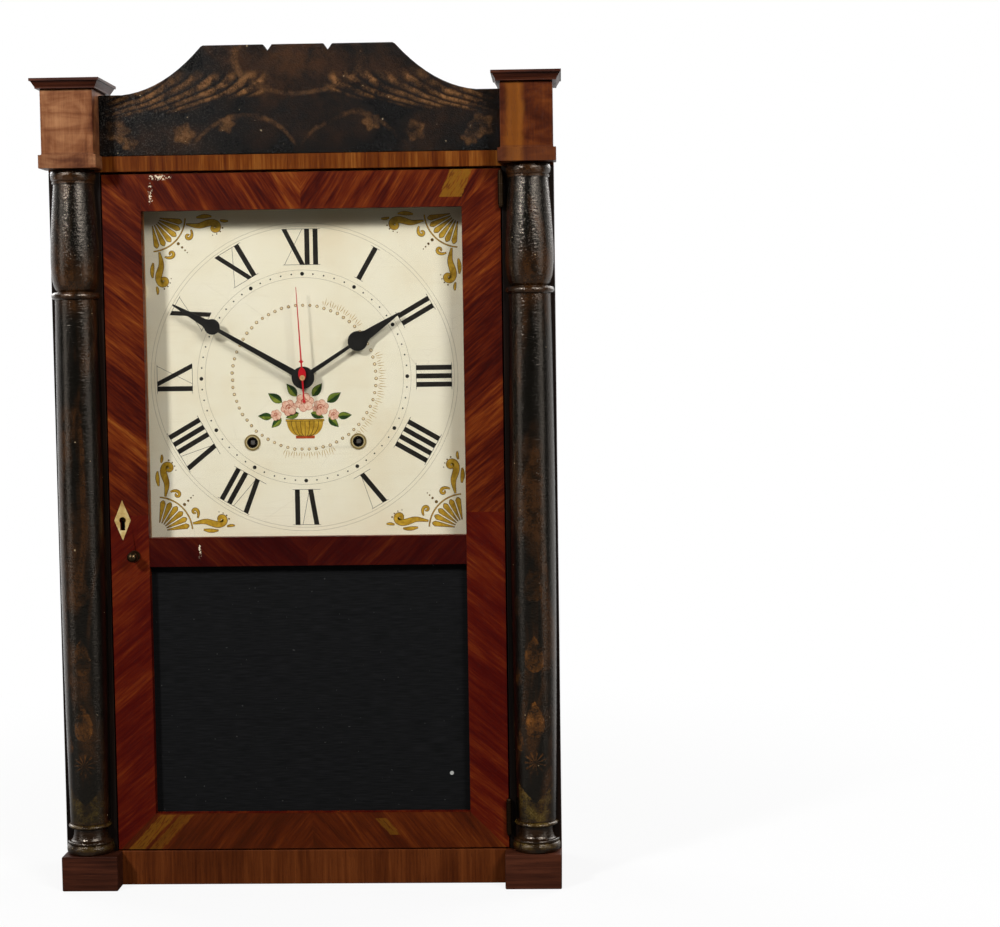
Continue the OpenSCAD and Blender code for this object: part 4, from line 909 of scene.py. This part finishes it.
def bead(mesh, x, z, radius, height, sides=10):
    """A low round drop of paint or gesso."""
    crown = dial_point(mesh, x, z, height)
    rims = []
    for share, level in ((1.0, 0.0), (0.92, 0.45), (0.6, 0.85)):
        out = share * radius
        turns = [2 * math.pi * i / sides for i in range(sides)]
        places = [(x + out * math.cos(turn), z + out * math.sin(turn)) for turn in turns]
        rims.append([dial_point(mesh, *place, level * height) for place in places])
    mesh.faces.new(rims[0][::-1])
    for low, high in zip(rims, rims[1:]):
        for i in range(sides):
            mesh.faces.new((low[i - 1], low[i], high[i], high[i - 1]))
    for i in range(sides):
        mesh.faces.new((rims[-1][i - 1], rims[-1][i], crown))


def at_hour(points, hour):
    """Points drawn upright over the centre, turned to an hour."""
    a = math.radians(30 * hour)
    return [(x * math.cos(a) + z * math.sin(a), z * math.cos(a) - x * math.sin(a)) for x, z in points]


NUMERAL_FOOT, NUMERAL_TOP = 95.0, 125.0
STROKE, HAIR, STROKE_STEP = 4.2, 0.35, 7.1
V_OPEN, X_OPEN = 7.0, 7.6
INK_LEVEL = 0.05
NUMERALS = ["XII", "I", "II", "III", "IIII", "V", "VI", "VII", "VIII", "IX", "X", "XI"]
LETTER_WIDTHS = {"I": STROKE_STEP, "V": 2 * V_OPEN + 1.5, "X": 2 * X_OPEN + 1.0}
dial_ink = paint("dial_ink", srgb(34, 30, 24), srgb(16, 13, 9), 240.0, 0.5, 0.2)
gold_paint = paint("dial_gold", srgb(206, 166, 50), srgb(156, 118, 14), 180.0, 0.4, 0.3)
outline_brown = paint("dial_outline", srgb(118, 90, 30), srgb(80, 58, 14), 300.0, 0.5, 0.2)
scribed_grey = paint("scribed_grey", srgb(150, 140, 116), srgb(112, 102, 82), 300.0, 0.6, 0.1)
bead_gilt = paint("bead_gilt", srgb(246, 232, 196), srgb(226, 202, 150), 300.0, 0.35, 0.4)
halo_brown = paint("halo_brown", srgb(156, 122, 70), srgb(112, 80, 38), 300.0, 0.5, 0.2)
sprig_tan = paint("sprig_tan", srgb(206, 178, 118), srgb(176, 142, 76), 300.0, 0.5, 0.2)


def bar(foot, top, width):
    """A straight stroke from its foot to its top, with level ends."""
    half = width / 2
    low = [(foot - half, NUMERAL_FOOT), (foot + half, NUMERAL_FOOT)]
    return low + [(top + half, NUMERAL_TOP), (top - half, NUMERAL_TOP)]


def letter_strokes(letter, middle):
    """The broad stroke of a letter, and its hair stroke where it has one."""
    if letter == "I":
        return [bar(middle, middle, STROKE)]
    if letter == "V":
        return [bar(middle, middle - V_OPEN + STROKE / 2, STROKE), bar(middle + 1, middle + V_OPEN, HAIR)]
    return [bar(middle + X_OPEN, middle - X_OPEN, STROKE), bar(middle - X_OPEN, middle + X_OPEN, HAIR)]


def level_hair(start, end, radius):
    """A fine level line at the foot or top of a numeral."""
    half = HAIR / 2
    return [(start, radius - half), (end, radius - half), (end, radius + half), (start, radius + half)]


def dial_numerals():
    """Roman numerals: broad strokes, with hairlines and serifs."""
    strokes, hairs = bmesh.new(), bmesh.new()
    for hour, numeral in enumerate(NUMERALS):
        width = sum(LETTER_WIDTHS[letter] for letter in numeral)
        x = -width / 2
        for letter in numeral:
            middle = x + LETTER_WIDTHS[letter] / 2
            for stroke in letter_strokes(letter, middle):
                thin = abs(stroke[1][0] - stroke[0][0]) < 1.0
                height = INK_LEVEL * (0.8 if thin else 1.0)
                layer(hairs if thin else strokes, at_hour(stroke, hour), -INK_LEVEL, height)
            x += LETTER_WIDTHS[letter]
        for radius in (NUMERAL_FOOT, NUMERAL_TOP):
            serif = level_hair(-width / 2 - 0.6, width / 2 + 0.6, radius)
            layer(hairs, at_hour(serif, hour), -INK_LEVEL, 0.6 * INK_LEVEL)
    new_piece("dial_numerals", strokes, dial_ink)
    new_piece("numeral_hairlines", hairs, dial_ink)


MINUTE_RINGS = (84.2, 90.6)
HOUR_RINGS = (127.2, 130.2)
# Radius, height and sides of a dot
HOUR_DOT, MINUTE_DOT = (1.65, 0.12, 14), (0.72, 0.08, 8)


def minute_track():
    """Minute dots between two scribed rings, and two more rings outside the numerals."""
    dots, rings = bmesh.new(), bmesh.new()
    for minute in range(60):
        (point,) = at_hour([(0, sum(MINUTE_RINGS) / 2)], minute / 5)
        bead(dots, *point, *(MINUTE_DOT if minute % 5 else HOUR_DOT))
    for radius in MINUTE_RINGS + HOUR_RINGS:
        ring(rings, radius, 0.2, -INK_LEVEL, 0.5 * INK_LEVEL)
    new_piece("minute_dots", dots, dial_ink)
    new_piece("scribed_rings", rings, scribed_grey)


BEAD_COUNT, BEAD_RADIUS = 63, 61.0
SPRIG_HOURS = ((0.5, 1.7), (2.4, 4.7), (5.2, 6.6))


def gilt_beading():
    """Ring of raised gilt drops, each in a tan halo, with fine sprigs that spread from some of them."""
    drops, halos, sprigs = bmesh.new(), bmesh.new(), bmesh.new()
    shake = random.Random(7)
    for i in range(BEAD_COUNT):
        hour = 12 * i / BEAD_COUNT
        (point,) = at_hour([(0, BEAD_RADIUS + shake.uniform(-0.3, 0.3))], hour)
        size = shake.uniform(0.8, 1.0)
        bead(halos, *point, size + 0.5, INK_LEVEL)
        bead(drops, *point, size, 0.7)
        if any(start < hour < end for start, end in SPRIG_HOURS):
            for lean in (-0.45, 0.0, 0.45):
                reach = BEAD_RADIUS + 7.0 + shake.uniform(0.0, 2.5) - abs(lean) * 3
                ends = [(lean * 3, BEAD_RADIUS + 2.2), (lean * 4.8, BEAD_RADIUS + 4.5), (lean * 5.5, reach)]
                brush_line(sprigs, at_hour(ends, hour), [0.3, 0.6, 0.2], -INK_LEVEL, 0.6 * INK_LEVEL)
    new_piece("gilt_beading", drops, bead_gilt)
    new_piece("bead_halos", halos, halo_brown)
    new_piece("gilt_sprigs", sprigs, sprig_tan)


def curl(start, heading, bends, step=0.8):
    """Points of a scroll: each bend is its length and its turning, in degrees a millimetre, at both ends."""
    x, z = start
    points = [(x, z)]
    for length, first, last in bends:
        count = max(2, round(length / step))
        for i in range(count):
            heading += (first + (last - first) * (i + 0.5) / count) * length / count
            x += math.cos(math.radians(heading)) * length / count
            z += math.sin(math.radians(heading)) * length / count
            points.append((x, z))
    return points


def swelling(count, start, middle, end):
    """Widths of a stroke that swells to its middle."""
    shares = [i / (count - 1) for i in range(count)]
    return [start + (end - start) * t + (middle - (start + end) / 2) * math.sin(math.pi * t) for t in shares]


def pointed(length, width, steps=7):
    """Outline of a pointed leaf or petal that lies along x from the start point."""
    shares = [i / steps for i in range(1, steps)]
    side = [(length * t, width / 2 * math.sin(math.pi * t ** 0.8)) for t in shares]
    return [(0.0, 0.0), *[(x, -y) for x, y in side], (length, 0.0), *side[::-1]]


def moved(outline, place, turn):
    """An outline turned by degrees about its start and set at a place."""
    a = math.radians(turn)
    return [
        (place[0] + x * math.cos(a) - y * math.sin(a), place[1] + x * math.sin(a) + y * math.cos(a))
        for x, y in outline
    ]


# Corner ornament: a ribbed shell with a leafy scroll along each edge
SHELL_AT, SHELL_RIBS, SHELL_INNER, SHELL_OUTER = (5.0, 5.0), 6, 8.0, 25.0
SHELL_FROM, SHELL_TO, SHELL_RIM, RIB_GAP = 4.0, 86.0, 29.6, 1.0
SCROLLS = [
    ((35.0, 12.0), 4.0, [(14.0, 3.0, -6.0), (12.0, -2.0, 9.0), (17.0, 13.0, 36.0)], (0.6, 4.8, 0.7)),
    ((39.0, 16.5), 58.0, [(7.0, 6.0, 12.0), (9.0, 18.0, 44.0)], (0.4, 1.9, 0.4)),
    ((44.0, 6.5), -10.0, [(13.0, 0.0, 3.0)], (0.4, 2.6, 0.3)),
    ((64.0, 9.0), 20.0, [(7.0, -3.0, -5.0)], (0.3, 1.6, 0.2)),
]
SCROLL_DOTS = [(66.0, 15.5, 0.8), (64.0, 18.5, 0.7), (61.0, 20.5, 0.6), (57.5, 21.5, 0.5)]
CORNER_DOTS = [(30.0, 1.4), (33.4, 1.05), (36.0, 0.75), (38.0, 0.55)]


def shell_rib(inset, first, last):
    """Outline of one rib of the shell, narrower all round by the inset."""
    start, end = math.radians(first), math.radians(last)
    middle, half = (start + end) / 2, (end - start) / 2
    line = []
    for radius in (SHELL_INNER + inset, SHELL_OUTER - inset):
        spare = half - (RIB_GAP / 2 + inset) / radius
        line.append((radius, middle - spare))
    steps = 6
    crown = [
        (SHELL_OUTER - inset + 2.6 * math.sin(math.pi * k / steps), middle - spare + 2 * spare * k / steps)
        for k in range(1, steps)
    ]
    mirrored = [(radius, 2 * middle - turn) for radius, turn in line[::-1]]
    return [
        (SHELL_AT[0] + radius * math.cos(turn), SHELL_AT[1] + radius * math.sin(turn))
        for radius, turn in line + crown + mirrored
    ]


def corner_ornament(gold, brown, to_dial):
    """The shell and scrolls of one corner. to_dial turns them into their corner."""
    step = (SHELL_TO - SHELL_FROM) / SHELL_RIBS
    for i in range(SHELL_RIBS):
        first = SHELL_FROM + i * step
        layer(brown, to_dial(shell_rib(0.0, first, first + step)), -INK_LEVEL, INK_LEVEL)
        layer(gold, to_dial(shell_rib(0.45, first, first + step)), 0.0, 2 * INK_LEVEL)
    turns = [math.radians(SHELL_FROM + (SHELL_TO - SHELL_FROM) * k / 24) for k in range(25)]
    arc = [(SHELL_AT[0] + SHELL_RIM * math.cos(t), SHELL_AT[1] + SHELL_RIM * math.sin(t)) for t in turns]
    brush_line(brown, to_dial(arc), [1.3] * len(arc), -INK_LEVEL, INK_LEVEL)
    brush_line(gold, to_dial(arc), [0.6] * len(arc), 0.0, 2 * INK_LEVEL)
    for flip in (False, True):
        for start, heading, bends, widths in SCROLLS:
            points = curl(start, heading, bends)
            if flip:
                points = [(b, a) for a, b in points]
            swell = swelling(len(points), *widths)
            brush_line(brown, to_dial(points), [w + 1.1 for w in swell], -INK_LEVEL, INK_LEVEL)
            brush_line(gold, to_dial(points), [w + 0.2 for w in swell], 0.0, 2 * INK_LEVEL)
        for along, away, radius in SCROLL_DOTS:
            (point,) = to_dial([(away, along) if flip else (along, away)])
            bead(brown, *point, radius, 3 * INK_LEVEL)
    for distance, radius in CORNER_DOTS:
        (point,) = to_dial([(distance * 0.94, distance * 0.94)])
        bead(brown, *point, radius, 3 * INK_LEVEL)


def corner_ornaments():
    """The gilt corners, each just inside what the door frame leaves in view."""
    gold, brown = bmesh.new(), bmesh.new()
    for side in (-1, 1):
        for level in (dial_foot, dial_top):
            edge = (side * open_half - dial_x) / MM
            sill = (level - dial_z) / MM
            up = 1 if level == dial_foot else -1
            corner_ornament(
                gold, brown, lambda line: [(edge - side * (a - 2.0), sill + up * (b - 2.0)) for a, b in line]
            )
    new_piece("corner_gilding", gold, gold_paint)
    new_piece("corner_outlines", brown, outline_brown)


# Bowl of flowers painted under the centre
rose_paint = paint("rose_pink", srgb(240, 208, 186), srgb(214, 150, 126), 260.0, 0.5, 0.2)
rose_deep = paint("rose_deep", srgb(196, 122, 96), srgb(156, 78, 60), 260.0, 0.5, 0.2)
leaf_light = paint("leaf_light", srgb(128, 140, 46), srgb(76, 100, 28), 260.0, 0.5, 0.2)
leaf_dark = paint("leaf_dark", srgb(44, 76, 22), srgb(20, 44, 12), 260.0, 0.5, 0.2)
foot_red = paint("bowl_foot_red", srgb(194, 88, 36), srgb(150, 56, 20), 260.0, 0.5, 0.2)
BLOSSOMS = [
    (0.0, -21.0, 7.2),
    (-13.5, -25.5, 6.2), (13.5, -25.5, 6.2),
    (-24.5, -31.5, 4.2), (24.5, -31.5, 4.2),
]
PETALS = 6
SPRAY_LEAVES = [
    (-6.5, -16.0, 128.0, 14.0), (6.5, -16.0, 52.0, 14.0),
    (-19.0, -21.0, 146.0, 14.5), (19.0, -21.0, 34.0, 14.5),
    (-27.5, -33.0, 176.0, 12.5), (27.5, -33.0, 4.0, 12.5),
    (-20.0, -34.0, 224.0, 12.0), (20.0, -34.0, 316.0, 12.0),
    (-5.0, -30.0, 200.0, 12.0), (5.0, -30.0, 340.0, 12.0),
]
BOWL_RIM, BOWL_FOOT, BOWL_HALF, BOWL_WAIST = -36.5, -49.5, 15.5, 5.0


def blossom(pale, deep, x, z, radius):
    """Overlapping round petals about a darker heart."""
    for i in range(PETALS):
        turn = 360 * i / PETALS + 15
        middle = moved([(radius * 0.58, 0.0)], (x, z), turn)[0]
        turns = [math.pi * k / 8 for k in range(16)]
        shell = [(radius * 0.5 * math.cos(t), radius * 0.46 * math.sin(t)) for t in turns]
        level = (1 + i % 3) * INK_LEVEL
        layer(deep, moved([(a * 1.12, b * 1.12) for a, b in shell], middle, turn), -INK_LEVEL, level)
        layer(pale, moved(shell, middle, turn), 0.0, level + 0.4 * INK_LEVEL)
    bead(deep, x, z, radius * 0.22, 6 * INK_LEVEL)
    curve = [moved([(radius * 0.42, 0.0)], (x, z), 30 * k + 20)[0] for k in range(8)]
    brush_line(deep, curve, swelling(len(curve), 0.3, 0.9, 0.3), 0.0, 4.4 * INK_LEVEL)


def spray_leaf(light, dark, x, z, turn, length):
    """A pointed dark leaf with one half lit."""
    outline = moved(pointed(length, length * 0.52), (x, z), turn)
    layer(dark, outline, -INK_LEVEL, INK_LEVEL)
    half = pointed(length * 0.96, length * 0.46)
    upper = [point for point in half if point[1] >= 0.0]
    layer(light, moved(upper, (x, z), turn), 0.0, 1.6 * INK_LEVEL)


def flower_spray():
    """Roses and their leaves, over the bowl."""
    pale, deep, light, dark = (bmesh.new() for _ in range(4))
    for blossom_at in BLOSSOMS:
        blossom(pale, deep, *blossom_at)
    for leaf_at in SPRAY_LEAVES:
        spray_leaf(light, dark, *leaf_at)
    new_piece("rose_petals", pale, rose_paint)
    new_piece("rose_shadows", deep, rose_deep)
    new_piece("spray_leaf_lights", light, leaf_light)
    new_piece("spray_leaves", dark, leaf_dark)


def gilt_bowl():
    """A ribbed gilt bowl on a red foot."""
    gold, brown, red = (bmesh.new() for _ in range(3))
    steps = 12
    curve = []
    for i in range(steps + 1):
        t = i / steps
        half = BOWL_WAIST + (BOWL_HALF - BOWL_WAIST) * math.sqrt(max(0.0, 1 - t * t))
        curve.append((half, BOWL_RIM + (BOWL_FOOT - BOWL_RIM) * t))
    layer(gold, curve + [(-x, z) for x, z in curve[::-1]], -INK_LEVEL, 3 * INK_LEVEL)
    for share in (-0.75, -0.5, -0.25, 0.0, 0.25, 0.5, 0.75):
        rib = [(x * share, z) for x, z in curve]
        brush_line(brown, rib, [0.55] * len(rib), 0.0, 3.6 * INK_LEVEL)
    rim = [(BOWL_HALF * 1.06 * s / 6, BOWL_RIM + 0.4) for s in range(-6, 7)]
    brush_line(brown, rim, [2.0] * len(rim), 0.0, 3.8 * INK_LEVEL)
    brush_line(gold, rim, [1.1] * len(rim), 0.0, 4.6 * INK_LEVEL)
    foot = [(s * 1.6, BOWL_FOOT - 0.9) for s in range(-5, 6)]
    brush_line(red, foot, [2.4] * len(foot), -INK_LEVEL, 3 * INK_LEVEL)
    new_piece("bowl_gilding", gold, gold_paint)
    new_piece("bowl_ribs", brown, outline_brown)
    new_piece("bowl_foot", red, foot_red)


dial_numerals()
minute_track()
gilt_beading()
corner_ornaments()
flower_spray()
gilt_bowl()

# Stage: a pale floor, a white surround, soft lamps and the camera
SURROUND_DIM = 0.035
FLOOR_HALF, FLOOR_GAP = 6.0, 0.2 * MM
FLOOR_BOUNCE = srgb(120, 120, 120)


def ray(nodes, kind):
    """One for rays of that kind."""
    return nodes.add("ShaderNodeLightPath", out=f"Is {kind} Ray")


def background_seen(nodes, behind):
    """One for rays that show the white background: to the camera, through glass, or mirrored from behind."""
    return ray(nodes, "Camera").atleast(ray(nodes, "Transmission")).atleast(ray(nodes, "Glossy") * behind)


def pale_floor():
    """A floor that looks white, keeps the clock's shadow near it, and throws little light back up."""
    finish = Finish("pale_floor", Roughness=0.9, Specular_IOR_Level=0.0)
    place = finish.place()
    seen = background_seen(finish, finish.rise(finish.axis(place, "Y"), 0.0, 0.5))
    mottle = finish.mix(finish.noise(place, 3.0, 2.0, 0.5), srgb(238, 238, 237), srgb(244, 244, 244))
    finish.set("Base Color", finish.mix(seen, FLOOR_BOUNCE, mottle))
    away = finish.add("ShaderNodeVectorMath", {"operation": "LENGTH"}, {0: place}, "Value")
    glow = finish.add("ShaderNodeEmission", None, {"Color": (1.0, 1.0, 1.0), "Strength": 1.0})
    share = seen * (0.87 + finish.rise(away, 0.3, 1.0) * 0.13)
    finish.blend(share, finish.look, glow)
    data = bpy.data.meshes.new("floor")
    corners = [(x * FLOOR_HALF, y * FLOOR_HALF, 0) for x, y in ((-1, -1), (1, -1), (1, 1), (-1, 1))]
    data.from_pydata(corners, [], [(0, 1, 2, 3)])
    data.materials.append(finish.material)
    floor = bpy.data.objects.new("floor", data)
    floor.location.z = cad_low.z - FLOOR_GAP
    bpy.context.scene.collection.objects.link(floor)


def white_surround():
    """White where it shows as background, and dim as a light."""
    world = bpy.data.worlds.new("white_surround")
    world.use_nodes = True
    bpy.context.scene.world = world
    nodes = Nodes(world.node_tree)
    background = world.node_tree.nodes["Background"]
    way = nodes.axis(nodes.add("ShaderNodeTexCoord", out="Generated"), "Y")
    seen = background_seen(nodes, nodes.rise(way, -0.2, 0.5))
    nodes.fill(background.inputs["Color"], (1.0, 1.0, 1.0))
    nodes.fill(background.inputs["Strength"], SURROUND_DIM + seen * (1.0 - SURROUND_DIM))


def lamp(name, toward, distance, size, power):
    """A soft lamp, as wide and tall as size, that stands in a direction from the clock's middle."""
    middle = Vector((0.0, 0.0, (cad_low.z + cad_high.z) / 2))
    data = bpy.data.lights.new(name, "AREA")
    data.shape = "RECTANGLE"
    data.size, data.size_y = size
    data.energy = power
    light = bpy.data.objects.new(name, data)
    way = Vector(toward).normalized()
    light.location = middle + way * distance
    light.rotation_euler = way.to_track_quat("Z", "Y").to_euler()
    bpy.context.scene.collection.objects.link(light)
    return light


CAMERA_AT = Vector((0.2156, -1.6977, 0.4643))
CAMERA_YAW, CAMERA_DIP, CAMERA_ROLL = (math.radians(a) for a in (-1.83, 3.75, 0.79))
CAMERA_LENS = 72.0


def photo_camera():
    """The camera as it was fitted to the photo: right of the clock's middle and looking slightly down."""
    level = math.cos(CAMERA_DIP)
    ahead = Vector((math.sin(CAMERA_YAW) * level, math.cos(CAMERA_YAW) * level, -math.sin(CAMERA_DIP)))
    right = Vector((math.cos(CAMERA_YAW), -math.sin(CAMERA_YAW), 0.0))
    down = ahead.cross(right)
    turned_right = right * math.cos(CAMERA_ROLL) + down * math.sin(CAMERA_ROLL)
    turned_down = down * math.cos(CAMERA_ROLL) - right * math.sin(CAMERA_ROLL)
    data = bpy.data.cameras.new("camera")
    data.lens = CAMERA_LENS
    camera = bpy.data.objects.new("camera", data)
    turned = Matrix((turned_right, -turned_down, -ahead)).transposed()
    camera.matrix_world = Matrix.Translation(CAMERA_AT) @ turned.to_4x4()
    bpy.context.scene.collection.objects.link(camera)
    bpy.context.scene.camera = camera


pale_floor()
white_surround()
lamp("lamp_left", (-0.72, -1.0, 0.72), 2.2, (0.26, 0.26), 32.0)
lamp("lamp_right", (0.75, -1.0, 0.74), 2.3, (0.7, 0.7), 32.0)
for side in (-1, 1):
    lamp("lamp_back", (side * 0.8, 0.75, 0.6), 2.4, (1.4, 1.4), 26.0)
    card = lamp("gloss_card", (side * 1.6, -1.0, 0.3), 1.95, (0.25, 2.0), 6.0)
    card.visible_diffuse = False
photo_camera()
bpy.context.scene.view_settings.view_transform = "Standard"
